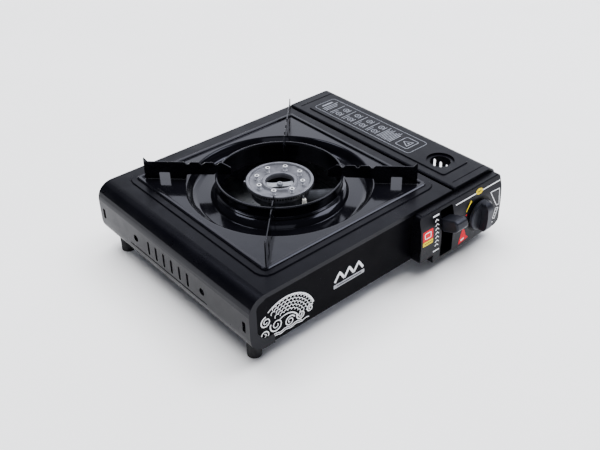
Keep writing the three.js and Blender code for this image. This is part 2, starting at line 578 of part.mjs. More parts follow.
const PIEZO = {
  x0: 113, x1: 127, y0: FRONT + 12, y1: FRONT + 40, z0: REGULATOR.z1 + GAP, z1: REGULATOR.z1 + 11,
};
function piezoIgniter() {
  const p = PIEZO;
  const body = alongY(rect(p.x0, p.z0, p.x1, p.z1, 2), p.y0, p.y1);
  return body.add(rodX(p.y0 + 8, (p.z0 + p.z1) / 2, 2.4, p.x0 - 3, p.x0 + 1, 12));
}

function igniterLead() {
  const p = PIEZO;
  const e = ELECTRODE;
  return bar([
    [p.x0 - 3 - GAP, p.y0 + 8, (p.z0 + p.z1) / 2], [p.x0 - 6, p.y0 + 8, (p.z0 + p.z1) / 2],
    [103, p.y0 + 10, 66], [98, FRONT + 27, 62], [80, FRONT + 36, 48], [40, FRONT + 60, 32],
    [e.x + 12, e.y - 12, 34], [e.x, e.y, 44], [e.x, e.y, e.z0 - 3 - GAP],
  ], 1.1, 26, 6);
}

// ---------------------------------------------------------------- controls
const fwd = (distance) => FRONT - distance;

function valveShaft() {
  const shaft = rodY(KNOB_X, KNOB_Z, 3, fwd(24), REGULATOR.y0 - GAP, 16);
  return shaft.subtract(box(KNOB_X - 5, fwd(25), KNOB_Z + 1.8, KNOB_X + 5, fwd(15), KNOB_Z + 5));
}

// Lobed disc on the shaft that trips the igniter at the end of the knob's turn.
function igniterCam() {
  const disc = rodY(KNOB_X, KNOB_Z, 7.5, FRONT + 4.2, FRONT + 7.6, 20);
  const lobe = alongY(filleted([[KNOB_X - 4, KNOB_Z], [KNOB_X + 4, KNOB_Z], [KNOB_X + 2.5, KNOB_Z - 13, 1.5],
    [KNOB_X - 2.5, KNOB_Z - 13, 1.5]]), FRONT + 4.2, FRONT + 7.6);
  return cut(joined(disc, lobe), rodY(KNOB_X, KNOB_Z, 3 + GAP, FRONT, FRONT + 12, 16));
}

const KNOB = { r: 18, back: 14.8, disc: 19.6, front: 29, gripHalf: 5.2, gripTall: 17.6 };
function knob() {
  const k = KNOB;
  const thickness = k.disc - k.back;
  const disc = turned([
    [0, 0], [k.r - 1, 0], [k.r, 1], [k.r - 0.5, thickness - 1], [k.r - 1.8, thickness], [0, thickness],
  ], 0, 0, 28).rotate([90, 0, 0]).translate([KNOB_X, fwd(k.back), KNOB_Z]);
  const waist = 1.6;
  const grip = alongY(filleted([
    [KNOB_X - k.gripHalf, KNOB_Z - k.gripTall, 3], [KNOB_X + k.gripHalf, KNOB_Z - k.gripTall, 3],
    [KNOB_X + k.gripHalf - waist, KNOB_Z, 30], [KNOB_X + k.gripHalf, KNOB_Z + k.gripTall, 3],
    [KNOB_X - k.gripHalf, KNOB_Z + k.gripTall, 3], [KNOB_X - k.gripHalf + waist, KNOB_Z, 30],
  ]), fwd(k.front), fwd(k.disc - 1));
  const dome = alongX(filleted([
    [fwd(k.disc - 2), KNOB_Z - 20], [fwd(k.disc + 3), KNOB_Z - 18, 6], [fwd(k.front), KNOB_Z - 14, 8],
    [fwd(k.front), KNOB_Z + 14, 8], [fwd(k.disc + 3), KNOB_Z + 18, 6], [fwd(k.disc - 2), KNOB_Z + 20],
  ]).reverse(), KNOB_X - 10, KNOB_X + 10);
  return cut(disc.add(grip.intersect(dome)), rodY(KNOB_X, KNOB_Z, 3 + GAP, fwd(24.4), fwd(10), 16));
}

// One moulding: lever box on the left, slot, knob panel on the right. Its face leans back at the top.
function housingSide(inset) {
  return filleted([
    [fwd(0.3), HOUSING.z0 + inset], [fwd(14.4 - inset), HOUSING.z0 + inset, 2.5], [fwd(14.3 - inset), 44, 40],
    [fwd(13 - inset), 62, 30], [fwd(8.6 - inset), HOUSING.z1 - inset, 2], [fwd(0.3), HOUSING.z1 - inset],
  ], true, 3).reverse();
}

function controlHousing() {
  const h = HOUSING;
  const block = alongX(housingSide(0), h.x0, h.x1);
  const outline = alongY(filleted([
    [h.x0, 22, 3], [h.x0 + 20, 19, 1], [h.x0 + 21, h.z0, 1], [h.x1 - 9, h.z0, 3], [h.x1, h.z0 + 6, 3],
    [h.x1, h.z1, 4], [h.x0, h.z1, 6],
  ]), fwd(20), FRONT);
  const hollow = alongX(housingSide(h.wall), h.x0 + h.wall, h.x1 - h.wall)
    .intersect(box(h.x0 + h.wall, fwd(20), 24, h.x1 - h.wall, FRONT + 1, h.z1 - h.wall))
    .add(box(h.x0 + h.wall, fwd(2), 24, h.x1 - h.wall, FRONT + 2, h.z1 - h.wall));
  const wedge = [[fwd(16), 27], [fwd(16), 12], [fwd(6), 12]].map(([y, z]) => new THREE.Vector2(y, z));
  const undercut = alongX(wedge, h.x0 - 1, h.x0 + 20);
  const slot = alongY(rect(SLOT.x0, SLOT.z0, SLOT.x1, SLOT.z1, 1.5), fwd(20), fwd(3));
  const shaftHole = rodY(KNOB_X, KNOB_Z, 5, fwd(20), FRONT + 1, 16);
  return cut(block.intersect(outline), hollow, undercut, slot, shaftHole);
}

// Everything on the lever is drawn with its arm level, then raised to the unlocked position.
const LEVER_REST = LEVER_THROW / 2;
const lifted = (solid) => solid
  .translate([0, -LEVER_PIVOT.y, -LEVER_PIVOT.z])
  .rotate([THREE.MathUtils.radToDeg(-LEVER_REST), 0, 0])
  .translate([0, LEVER_PIVOT.y, LEVER_PIVOT.z]);
const HANDLE = { x0: 71.2, x1: 87.8, root: 27, tip: 50, half: 7.2 };
const ARM = { x0: 78.4, x1: 80.8, half: 3.6, end: 42 };
const ahead = (distance) => LEVER_PIVOT.y - distance;

function leverArm() {
  const p = LEVER_PIVOT;
  const hub = rodX(p.y, p.z, 4.2, 76, 98, 16);
  const arm = alongX(rect(ahead(ARM.end), p.z - ARM.half, p.y, p.z + ARM.half), ARM.x0, ARM.x1);
  const crank = alongX(filleted([[p.y - 3.6, p.z], [p.y + 3.6, p.z], [p.y + 3, p.z + CRANK_R + 3, 2.5],
    [p.y - 3, p.z + CRANK_R + 3, 2.5]]), 95, 97);
  const stud = rodX(p.y, p.z + CRANK_R, 1.8, 96, 107, 16);
  return lifted(cut(joined(hub, arm, crank, stud), rodX(p.y, p.z, 2 + GAP, 70, 105, 16)));
}

function leverHandle() {
  const p = LEVER_PIVOT;
  const side = alongX(filleted([
    [ahead(HANDLE.tip), p.z - 4, 3], [ahead(HANDLE.tip - 5), p.z - HANDLE.half, 4],
    [ahead(HANDLE.root), p.z - HANDLE.half, 1.5], [ahead(HANDLE.root), p.z + HANDLE.half, 1.5],
    [ahead(HANDLE.tip - 3), p.z + HANDLE.half - 1, 3],
    [ahead(HANDLE.tip), p.z + 3, 3],
  ]), HANDLE.x0, HANDLE.x1, [], 1);
  const halfSlot = ARM.half + GAP;
  const pocket = box(ARM.x0 - GAP, ahead(ARM.end + GAP), p.z - halfSlot, ARM.x1 + GAP, p.y, p.z + halfSlot);
  return lifted(side.subtract(pocket));
}

const leverPin = () => rodX(LEVER_PIVOT.y, LEVER_PIVOT.z, 2, 73, 102, 16);

function leverBracket() {
  const t = BRACKET.t;
  const p = LEVER_PIVOT;
  const cheek = (x, floor) => alongX(filleted([
    [p.y - 6, floor], [p.y + 7.2, floor], [p.y + 7.2, p.z, 2], [p.y + 4, p.z + 5, 3], [p.y - 5, p.z + 5, 3],
  ]), x, x + t);
  const web = box(74, p.y + 6, FLOOR_Z + GAP, 99.5, p.y + 6 + t, p.z - 8);
  const bracket = joined(cheek(74, FLOOR_Z + GAP), cheek(99, BAY_FLOOR_Z + GAP), web);
  return cut(bracket, rodX(p.y, p.z, 2 + GAP, 70, 105, 16));
}

const CARRIAGE = { x0: 104, x1: 153, y0: FRONT + 14, y1: FRONT + 60, z: BAY_FLOOR_Z + 1.7 };
function carriage() {
  const c = CARRIAGE;
  const t = BRACKET.t;
  const plate = box(c.x0, c.y0, c.z, c.x1, c.y1, c.z + t);
  const studY = LEVER_PIVOT.y + CRANK_R * Math.sin(LEVER_REST);
  const ear = alongX(rect(c.y0, c.z, c.y0 + 11, 63, 2), c.x0, c.x0 + t);
  const slotOutline = rect(studY - 2.2, LEVER_PIVOT.z + 8.6, studY + 2.2, LEVER_PIVOT.z + 14.6);
  const slot = alongX(slotOutline, c.x0 - 1, c.x0 + t + 1);
  const forkR = 18.5;
  const fork = alongY(rect(PORT.x - 24, c.z, PORT.x + 21.3, PORT.z + 12, 3), c.y1 - t, c.y1);
  const throat = joined(rodY(PORT.x, PORT.z, forkR, c.y1 - 5, c.y1 + 5, 32),
    box(PORT.x - forkR, c.y1 - 5, PORT.z, PORT.x + forkR, c.y1 + 5, PORT.z + 20));
  return cut(joined(plate, ear, fork), slot, throat);
}

function cartridgeRest() {
  const floor = BAY_FLOOR_Z + GAP;
  return alongY(bentSheet(filleted([
    [PORT.x - 24.3, floor + 9.4], [PORT.x - 15, floor, 4],
    [PORT.x + 15, floor, 4], [PORT.x + 24.3, floor + 9.4],
  ], false, 3), SHEET), FRONT + 150, FRONT + 170);
}

// ---------------------------------------------------------------- cartridge lid
function lidPath(grow = 0) {
  return filleted([
    [LID.x1 + grow, HINGE.z + 2.7], [LID.x1 + grow, LID.top + grow, LID.bend + grow],
    [LID.x0 - grow, LID.top + grow, 2.5 + grow], [LID.x0 - grow, LID.skirtZ],
  ], false, 6);
}

const WINDOW = { x: 133.9, y: FRONT + 46.8, dishR: 15.6, holeR: 11.6 };
function cartridgeLid() {
  const shell = alongY(bentSheet(lidPath(), SHEET), FRONT, BACK);
  const skirt = filleted([
    [LID.x0, LID.skirtZ], [LID.x1, LID.skirtZ], [LID.x1, LID.top, LID.bend], [LID.x0, LID.top, 2.5],
  ], true, 6);
  const skirts = [FRONT, BACK - 0.8].map((y) => alongY(skirt, y, y + 0.8));
  const panel = alongZ(rect(112, FRONT + 23, 154, FRONT + 240, 4), LID.top - SHEET, LID.top + 1.2, [], 0.9);
  const dish = rodZ(WINDOW.x, WINDOW.y, WINDOW.dishR + 1, LID.top - 2, LID.top + 1, 40);
  const dishCut = rodZ(WINDOW.x, WINDOW.y, WINDOW.dishR, LID.top - 1, LID.top + 5, 40);
  const hole = rodZ(WINDOW.x, WINDOW.y, WINDOW.holeR, LID.top - 5, LID.top + 5, 40);
  const grooves = [[FRONT + 7, FRONT + 9], [BACK - 13, BACK - 11]].map(([a, b]) =>
    alongY(bentSheet(lidPath(1), 1.5), a, b).subtract(box(LID.x0 - 2, a - 1, 50, 109, b + 1, 90)));
  const knuckles = KNUCKLES.map((y) => joined(
    rodY(HINGE.x, HINGE.z, HINGE.r, y - 7, y + 7),
    box(LID.x1 - 0.9, y - 6.9, HINGE.z, LID.x1 - 0.1, y + 6.9, HINGE.z + 4)));
  const pinHoles = KNUCKLES.map((y) => rodY(HINGE.x, HINGE.z, 1.05, y - 9, y + 9, 12));
  return cut(joined(shell, ...skirts, panel, dish, ...knuckles), dishCut, hole, ...grooves, ...pinHoles);
}

const lidPin = (y) => rodY(HINGE.x, HINGE.z, 0.8, y - 11, y + 11, 12);

// ---------------------------------------------------------------- assembly
addPart("casing_top", casingTop(), paint);
addPart("front_panel", frontPanel(), paint);
addPart("back_panel", backPanel(), paint);
addPart("base_tray", baseTray(), zincPlate);
addPart("partition", partition(), zincPlate);
for (const [corner, f] of Object.entries(feet)) {
  addPart(`foot_${corner}`, foot(f), rubber);
  const length = f.top === BOTTOM_Z ? 20.5 : 11.8;
  addPart(`foot_screw_${corner}`, screwUp(f.x, f.y, 2.6, 3.2, 2.1, 1.5, length), zincPlate);
}
const faceHead = [2.6, 1, 1.5, 6];
const [frontScrew] = FACE_SCREWS.front;
addPart("front_screw", screwBackward(frontScrew[0], FRONT, frontScrew[1], ...faceHead), zincPlate);
FACE_SCREWS.back.forEach(([x, z], i) =>
  addPart(["back_screw_left", "back_screw_right"][i], screwForward(x, BACK, z, ...faceHead), zincPlate));

addPart("drip_pan", dripPan(), enamel);
addPart("wind_ring", windRing(), enamel);
for (const [corner, angle] of Object.entries(supports)) {
  addPart(`pot_support_${corner}`, potSupport(angle), enamel);
}

addPart("burner_body", burnerBody(), castAluminium);
addPart("burner_cap", burnerCap(), castAluminium);
addPart("burner_crossbar", burnerCrossbar(), zincPlate);
addPart("burner_screw", burnerScrew(), zincPlate);
addPart("burner_bracket", burnerBracket(), zincPlate);
bracketFeet.forEach(({ x, y }, i) =>
  addPart(["bracket_screw_left", "bracket_screw_right"][i],
    screwDown(x, y, FLOOR_Z + 2 * GAP + BRACKET.t + 1.6, 3, 1.6, 1.3, 6), zincPlate));
addPart("electrode_insulator", electrodeInsulator(), ceramic);
addPart("electrode_rod", electrodeRod(), zincPlate);
addPart("electrode_clip", electrodeClip(), zincPlate);
addPart("igniter_lead", igniterLead(), wireSleeve);

addPart("regulator_body", regulatorBody(), castAluminium);
addPart("regulator_bonnet", regulatorBonnet(), zincPlate);
addPart("regulator_bracket", regulatorBracket(), zincPlate);
addPart("inlet_seal", inletSeal(), rubber);
addPart("gas_nozzle", gasNozzle(), brass);
addPart("piezo_igniter", piezoIgniter(), blackPlastic);
addPart("valve_shaft", valveShaft(), brass);
addPart("igniter_cam", igniterCam(), blackPlastic);
addPart("knob", knob(), blackPlastic);
addPart("control_housing", controlHousing(), blackPlastic);
addPart("lever_arm", leverArm(), zincPlate);
addPart("lever_handle", leverHandle(), blackPlastic);
addPart("lever_pin", leverPin(), zincPlate);
addPart("lever_bracket", leverBracket(), zincPlate);
addPart("carriage", carriage(), zincPlate);
addPart("cartridge_rest", cartridgeRest(), zincPlate);

addPart("cartridge_lid", cartridgeLid(), paint);
KNUCKLES.forEach((y, i) => addPart(["lid_pin_front", "lid_pin_back"][i], lidPin(y), zincPlate));

export default group;
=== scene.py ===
"""Looks of a camping stove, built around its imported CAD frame. Lengths are in metres, +Z is up."""

import math

import bmesh
import bpy
from mathutils import Matrix, Vector
from mathutils.bvhtree import BVHTree


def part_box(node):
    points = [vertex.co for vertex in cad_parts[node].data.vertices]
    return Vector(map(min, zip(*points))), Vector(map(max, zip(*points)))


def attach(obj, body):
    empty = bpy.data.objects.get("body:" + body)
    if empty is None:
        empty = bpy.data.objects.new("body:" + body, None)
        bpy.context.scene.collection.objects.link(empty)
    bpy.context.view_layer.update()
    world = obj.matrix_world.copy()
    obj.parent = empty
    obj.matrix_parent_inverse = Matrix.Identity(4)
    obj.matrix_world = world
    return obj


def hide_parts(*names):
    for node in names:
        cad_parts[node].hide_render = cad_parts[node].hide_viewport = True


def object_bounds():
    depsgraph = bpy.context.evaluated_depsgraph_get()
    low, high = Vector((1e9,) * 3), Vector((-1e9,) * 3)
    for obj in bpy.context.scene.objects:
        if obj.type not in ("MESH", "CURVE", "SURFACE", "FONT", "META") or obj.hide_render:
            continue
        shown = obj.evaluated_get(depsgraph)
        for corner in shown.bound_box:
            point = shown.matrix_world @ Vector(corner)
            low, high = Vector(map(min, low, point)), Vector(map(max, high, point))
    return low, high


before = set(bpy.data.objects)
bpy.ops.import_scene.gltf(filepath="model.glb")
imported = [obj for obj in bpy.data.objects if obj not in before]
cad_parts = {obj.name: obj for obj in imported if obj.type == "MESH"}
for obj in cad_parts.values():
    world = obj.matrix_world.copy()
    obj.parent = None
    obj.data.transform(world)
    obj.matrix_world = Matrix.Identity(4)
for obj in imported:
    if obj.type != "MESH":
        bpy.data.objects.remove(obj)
cad_low, cad_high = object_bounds()

MM = 0.001
ROUND = 144  # segments of a large turned piece
SMALL_ROUND = 28  # segments of a small one
SHARP = 35  # an edge bent by more degrees than this stays sharp in the shading


# ------------------------------------------------------------------ places, all from the frame
def middle(node):
    low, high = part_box(node)
    return (low + high) / 2


pan_low, pan_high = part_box("drip_pan")
PAN = middle("drip_pan")
PAN_HALF = (pan_high.x - pan_low.x) / 2
PAN_TOP = pan_high.z
PAN_FLAT = PAN_TOP - 2 * MM  # the pan's upper face inside its raised rim
KNOB = middle("knob")
KNOB_R = (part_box("knob")[1].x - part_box("knob")[0].x) / 2
HOUSING_LOW, HOUSING_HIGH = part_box("control_housing")
CASE_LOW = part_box("casing_top")[0]
LID_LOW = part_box("cartridge_lid")[0]


# ------------------------------------------------------------------ materials
def linear(*srgb):
    """An 8-bit sRGB colour as Blender's linear RGBA."""
    channels = [c / 255 for c in srgb]
    return [c / 12.92 if c <= 0.04045 else ((c + 0.055) / 1.055) ** 2.4 for c in channels] + [1.0]


class Surface:
    """A Principled material with mottled colour, uneven roughness and a fine bump, all from noise."""

    def __init__(self, name, metallic=0.0, specular=0.5, coat=0.0, coat_roughness=0.05, tint=(1, 1, 1)):
        self.material = bpy.data.materials.new(name)
        self.material.use_nodes = True
        self.nodes = self.material.node_tree.nodes
        self.links = self.material.node_tree.links
        self.shader = self.nodes["Principled BSDF"]
        self.shader.inputs["Metallic"].default_value = metallic
        self.shader.inputs["Specular IOR Level"].default_value = specular
        self.shader.inputs["Specular Tint"].default_value = (*tint, 1)
        self.shader.inputs["Coat Weight"].default_value = coat
        self.shader.inputs["Coat Roughness"].default_value = coat_roughness
        self.place = self.nodes.new("ShaderNodeTexCoord").outputs["Object"]
        self.height = None

    def noise(self, size, detail=3.0, stretch=(1, 1, 1)):
        mapping = self.nodes.new("ShaderNodeMapping")
        mapping.inputs["Scale"].default_value = stretch
        texture = self.nodes.new("ShaderNodeTexNoise")
        texture.inputs["Scale"].default_value = 1 / size
        texture.inputs["Detail"].default_value = detail
        self.links.new(self.place, mapping.inputs["Vector"])
        self.links.new(mapping.outputs["Vector"], texture.inputs["Vector"])
        return texture.outputs["Fac"]

    def cells(self, size):
        texture = self.nodes.new("ShaderNodeTexVoronoi")
        texture.inputs["Scale"].default_value = 1 / size
        self.links.new(self.place, texture.inputs["Vector"])
        return texture.outputs["Color"]

    def ramp(self, value, low, high, start, end):
        node = self.nodes.new("ShaderNodeMapRange")
        for socket, number in zip(("From Min", "From Max", "To Min", "To Max"), (start, end, low, high)):
            node.inputs[socket].default_value = number
        self.links.new(value, node.inputs["Value"])
        return node.outputs["Result"]

    def mix(self, share, low, high):
        node = self.nodes.new("ShaderNodeMix")
        node.data_type = "RGBA"
        self.links.new(share, node.inputs["Factor"])
        for socket, value in ((node.inputs[6], low), (node.inputs[7], high)):
            if isinstance(value, bpy.types.NodeSocket):
                self.links.new(value, socket)
            else:
                socket.default_value = value
        return node.outputs[2]

    def colour(self, low, high, size, detail=4.0):
        """Colour that drifts between two shades over patches of this size."""
        self.paint = self.mix(self.ramp(self.noise(size, detail), 0, 1, 0.35, 0.65), low, high)
        self.links.new(self.paint, self.shader.inputs["Base Color"])
        return self

    def specks(self, shade, size, share):
        """Scattered specks of another shade, such as dust in paint."""
        spots = self.ramp(self.noise(size, 1.0), 0, 1, 1 - share, 1.02 - share)
        self.paint = self.mix(spots, self.paint, shade)
        self.links.new(self.paint, self.shader.inputs["Base Color"])
        return self

    def roughness(self, low, high, size, stretch=(1, 1, 1)):
        value = self.ramp(self.noise(size, 5.0, stretch), low, high, 0.3, 0.7)
        self.links.new(value, self.shader.inputs["Roughness"])
        return self

    def bump(self, size, depth, detail=2.0, stretch=(1, 1, 1)):
        """A relief of this depth. Calls add up, coarse first."""
        node = self.nodes.new("ShaderNodeBump")
        node.inputs["Distance"].default_value = depth
        self.links.new(self.noise(size, detail, stretch), node.inputs["Height"])
        if self.height is not None:
            self.links.new(self.height, node.inputs["Normal"])
        self.height = node.outputs["Normal"]
        self.links.new(self.height, self.shader.inputs["Normal"])
        return self


BLUE_BLACK = (0.8, 0.82, 1.0)


def satin_paint(name, dark, light, roughness, specular):
    look = Surface(name, specular=specular, tint=BLUE_BLACK)
    look.colour(dark, light, 45 * MM).specks(linear(60, 61, 72), 0.9 * MM, 0.2)
    look.roughness(roughness - 0.05, roughness + 0.06, 18 * MM)
    return look.bump(1.1 * MM, 0.018 * MM, 3.0).material


def gloss_enamel():
    look = Surface("gloss_enamel", specular=0.24, coat=0.1, coat_roughness=0.03, tint=BLUE_BLACK)
    look.colour(linear(5, 5, 8), linear(9, 9, 13), 35 * MM).specks(linear(34, 35, 42), 0.8 * MM, 0.17)
    look.roughness(0.07, 0.17, 14 * MM)
    return look.bump(9 * MM, 0.02 * MM).bump(1.6 * MM, 0.004 * MM).material


def jet_steel():
    look = Surface("jet_steel", metallic=0.5)
    look.colour(linear(228, 230, 236), linear(244, 246, 250), 3 * MM)
    return look.roughness(0.24, 0.4, 1.5 * MM).bump(0.4 * MM, 0.008 * MM).material


def cast_aluminium():
    look = Surface("cast_aluminium", metallic=0.68)
    look.colour(linear(106, 107, 114), linear(128, 129, 136), 9 * MM)
    look.specks(linear(90, 91, 97), 0.8 * MM, 0.28)
    look.roughness(0.3, 0.48, 3 * MM)
    return look.bump(0.7 * MM, 0.035 * MM, 4.0).material


def grey_casting():
    look = Surface("grey_casting", metallic=0.6)
    look.colour(linear(58, 60, 65), linear(76, 78, 84), 7 * MM).specks(linear(40, 41, 46), 0.9 * MM, 0.3)
    look.roughness(0.42, 0.6, 4 * MM)
    return look.bump(0.8 * MM, 0.04 * MM, 4.0).material


def zinc_plate():
    look = Surface("zinc_plate", metallic=0.55)
    spangle = look.ramp(look.cells(7 * MM), 0, 1, 0, 1)
    look.paint = look.mix(spangle, linear(128, 131, 138), linear(160, 163, 169))
    look.links.new(look.paint, look.shader.inputs["Base Color"])
    look.roughness(0.26, 0.46, 9 * MM, (1, 4, 1))
    return look.bump(0.9 * MM, 0.008 * MM, 2.0, (1, 6, 1)).material


def black_plastic(name, dark, light, roughness, specular):
    look = Surface(name, specular=specular, tint=BLUE_BLACK)
    look.colour(dark, light, 20 * MM)
    look.roughness(roughness - 0.05, roughness + 0.07, 6 * MM)
    return look.bump(0.45 * MM, 0.014 * MM, 2.0).material


def foot_rubber():
    look = Surface("foot_rubber", specular=0.3)
    look.colour(linear(20, 20, 22), linear(32, 32, 35), 8 * MM).specks(linear(58, 58, 61), 0.6 * MM, 0.25)
    return look.roughness(0.7, 0.9, 5 * MM).bump(0.6 * MM, 0.03 * MM, 4.0).material


def turned_brass():
    look = Surface("turned_brass", metallic=0.95)
    look.colour(linear(176, 140, 74), linear(205, 170, 98), 5 * MM)
    return look.roughness(0.22, 0.4, 2 * MM).bump(0.3 * MM, 0.006 * MM, 2.0, (8, 1, 1)).material


def glazed_ceramic():
    look = Surface("glazed_ceramic", coat=0.5)
    look.colour(linear(228, 226, 218), linear(246, 245, 240), 3 * MM)
    look.specks(linear(176, 168, 150), 0.4 * MM, 0.2)
    return look.roughness(0.25, 0.4, 2 * MM).bump(0.8 * MM, 0.01 * MM).material


def silicone_sleeve():
    look = Surface("silicone_sleeve", specular=0.4)
    look.colour(linear(196, 190, 176), linear(216, 211, 199), 6 * MM)
    return look.roughness(0.45, 0.6, 3 * MM).bump(0.5 * MM, 0.012 * MM).material


def ink(name, dark, light):
    look = Surface(name, specular=0.08)
    look.colour(dark, light, 4 * MM)
    return look.roughness(0.42, 0.58, 2 * MM).bump(0.3 * MM, 0.004 * MM).material


PAINT = satin_paint("satin_paint", linear(4, 4, 7), linear(8, 8, 12), 0.31, 0.12)
# the case paint again, darker and with almost no shine, on the front and back panels: painted shade
SHADED_PAINT = satin_paint("shaded_panel_paint", linear(3, 3, 5), linear(6, 6, 9), 0.4, 0.02)
ENAMEL = gloss_enamel()
JET_STEEL = jet_steel()
ALUMINIUM = cast_aluminium()
CASTING = grey_casting()
ZINC = zinc_plate()
PLASTIC = black_plastic("black_plastic", linear(4, 4, 6), linear(7, 7, 10), 0.3, 0.12)
HANDLE_PLASTIC = black_plastic("handle_plastic", linear(13, 14, 18), linear(20, 21, 26), 0.42, 0.35)
RUBBER = foot_rubber()
BRASS = turned_brass()
CERAMIC = glazed_ceramic()
SLEEVE = silicone_sleeve()
WHITE_INK = ink("white_ink", linear(240, 241, 245), linear(250, 251, 254))
GREY_INK = ink("grey_ink", linear(150, 153, 160), linear(178, 180, 186))
LABEL_INK = ink("label_ink", linear(112, 115, 124), linear(138, 141, 150))
YELLOW_INK = ink("yellow_ink", linear(226, 196, 0), linear(240, 212, 0))
RED_INK = ink("red_ink", linear(206, 0, 28), linear(224, 0, 38))
# near-black ink for a flat disc of painted shade round the knob
KNOB_SHADE_INK = ink("knob_shade_ink", linear(3, 3, 5), linear(6, 6, 8))
BLACK_INK = ink("black_ink", linear(22, 22, 24), linear(34, 34, 37))
# black ink laid in the cap's gaps and the jets' bores: painted shade for the dark of the holes
HOLE_SHADE = ink("hole_shade", linear(2, 2, 2), linear(5, 5, 6))


# ------------------------------------------------------------------ mesh helpers
def make_object(name, bm, material, body, sharp=SHARP):
    """A finished mesh as a piece that rides on a body, shaded smooth but for its sharp edges."""
    bmesh.ops.recalc_face_normals(bm, faces=bm.faces)
    mesh = bpy.data.meshes.new(name)
    bm.to_mesh(mesh)
    bm.free()
    mesh.shade_smooth()
    mesh.set_sharp_from_angle(angle=math.radians(sharp))
    mesh.materials.append(material)
    piece = bpy.data.objects.new(name, mesh)
    bpy.context.scene.collection.objects.link(piece)
    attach(piece, body)
    return piece


def filleted(corners, closed=True, steps=5):
    """Points of an outline whose corners are (a, b) or (a, b, fillet radius)."""
    points = []
    for i, corner in enumerate(corners):
        here = Vector(corner[:2])
        ends = i in (0, len(corners) - 1)
        if len(corner) < 3 or (ends and not closed):
            points.append(here)
            continue
        radius = corner[2]
        back = (Vector(corners[i - 1][:2]) - here).normalized()
        ahead = (Vector(corners[(i + 1) % len(corners)][:2]) - here).normalized()
        half = math.acos(max(-1.0, min(1.0, back.dot(ahead)))) / 2
        centre = here + (back + ahead).normalized() * (radius / math.sin(half))
        start = here + back * (radius / math.tan(half)) - centre
        end = here + ahead * (radius / math.tan(half)) - centre
        sweep = math.atan2(start.x * end.y - start.y * end.x, start.dot(end))
        for step in range(steps + 1):
            points.append(centre + Matrix.Rotation(sweep * step / steps, 2) @ start)
    return points


def turned(bm, profile, x, y, segments=ROUND):
    """Adds the closed profile of (radius, z) turned about the upright axis through x, y."""
    rings = []
    for r, z in profile:
        count = segments if r > 1e-6 else 1
        angles = [2 * math.pi * i / count for i in range(count)]
        rings.append([bm.verts.new((x + r * math.cos(a), y + r * math.sin(a), z)) for a in angles])
    for low, high in zip(rings, rings[1:] + rings[:1]):
        if len(low) == len(high) == 1:
            continue
        for i in range(segments):
            j = (i + 1) % segments
            corners = [low[i % len(low)], low[j % len(low)], high[j % len(high)], high[i % len(high)]]
            bm.faces.new(list(dict.fromkeys(corners)))
    return bm


def cut_boxes(piece, boxes):
    """Cuts boxes out of a piece. Each is (centre, half sizes, turn about Z)."""
    bm = bmesh.new()
    for centre, half, turn in boxes:
        placed = Matrix.Translation(centre) @ Matrix.Rotation(turn, 4, "Z")
        bmesh.ops.create_cube(bm, size=2, matrix=placed @ Matrix.Diagonal((*half, 1)))
    mesh = bpy.data.meshes.new("cutter")
    bm.to_mesh(mesh)
    bm.free()
    cutter = bpy.data.objects.new("cutter", mesh)
    bpy.context.scene.collection.objects.link(cutter)
    modifier = piece.modifiers.new("Cut", "BOOLEAN")
    modifier.object = cutter
    modifier.operation = "DIFFERENCE"
    modifier.solver = "EXACT"
    bpy.context.view_layer.update()
    result = bpy.data.meshes.new_from_object(piece.evaluated_get(bpy.context.evaluated_depsgraph_get()))
    piece.modifiers.clear()
    piece.data = result
    bpy.data.objects.remove(cutter)
    result.shade_smooth()
    result.set_sharp_from_angle(angle=math.radians(SHARP))


def dress(node, material, edge=0.2 * MM, segments=2, merge_flats=True):
    """Gives a CAD node its material, softened edges and smooth shading. Its own vertices stay as they are."""
    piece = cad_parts[node]
    mesh = piece.data
    mesh.materials.clear()
    mesh.materials.append(material)
    for attribute in ("custom_normal", "sharp_edge", "sharp_face"):
        if attribute in mesh.attributes:
            mesh.attributes.remove(mesh.attributes[attribute])
    weld = piece.modifiers.new("Weld", "WELD")
    weld.merge_threshold = 0.002 * MM
    if merge_flats:
        flat = piece.modifiers.new("Flat", "DECIMATE")
        flat.decimate_type = "DISSOLVE"
        flat.angle_limit = math.radians(0.6)
    bevel = piece.modifiers.new("Edge", "BEVEL")
    bevel.width = edge
    bevel.segments = segments
    bevel.limit_method = "ANGLE"
    bevel.angle_limit = math.radians(32)
    normals = piece.modifiers.new("Normals", "WEIGHTED_NORMAL")
    normals.keep_sharp = False
    return piece


# ------------------------------------------------------------------ drip pan
def square_point(angle, half, corner):
    """Where a ray at this angle from the centre meets a square with round corners."""
    u, v = abs(math.cos(angle)), abs(math.sin(angle))
    reach = half / max(u, v)
    inner = half - corner
    if reach * u > inner and reach * v > inner:
        along = inner * (u + v)
        reach = along + math.sqrt(max(along * along - 2 * inner * inner + corner * corner, 0))
    return reach * math.cos(angle), reach * math.sin(angle)


def pan_angles():
    """Directions from the pan's centre, closer together at its corners."""
    corner = [math.radians(45 + d) for d in (-1.4, -1.0, -0.6, -0.2, 0.2, 0.6, 1.0, 1.4)]
    side_from, side_to, side_steps = math.radians(46.8), math.radians(133.2), 40
    side = [side_from + (side_to - side_from) * i / side_steps for i in range(side_steps + 1)]
    return [math.pi / 2 * quarter + a for quarter in range(4) for a in corner + side]


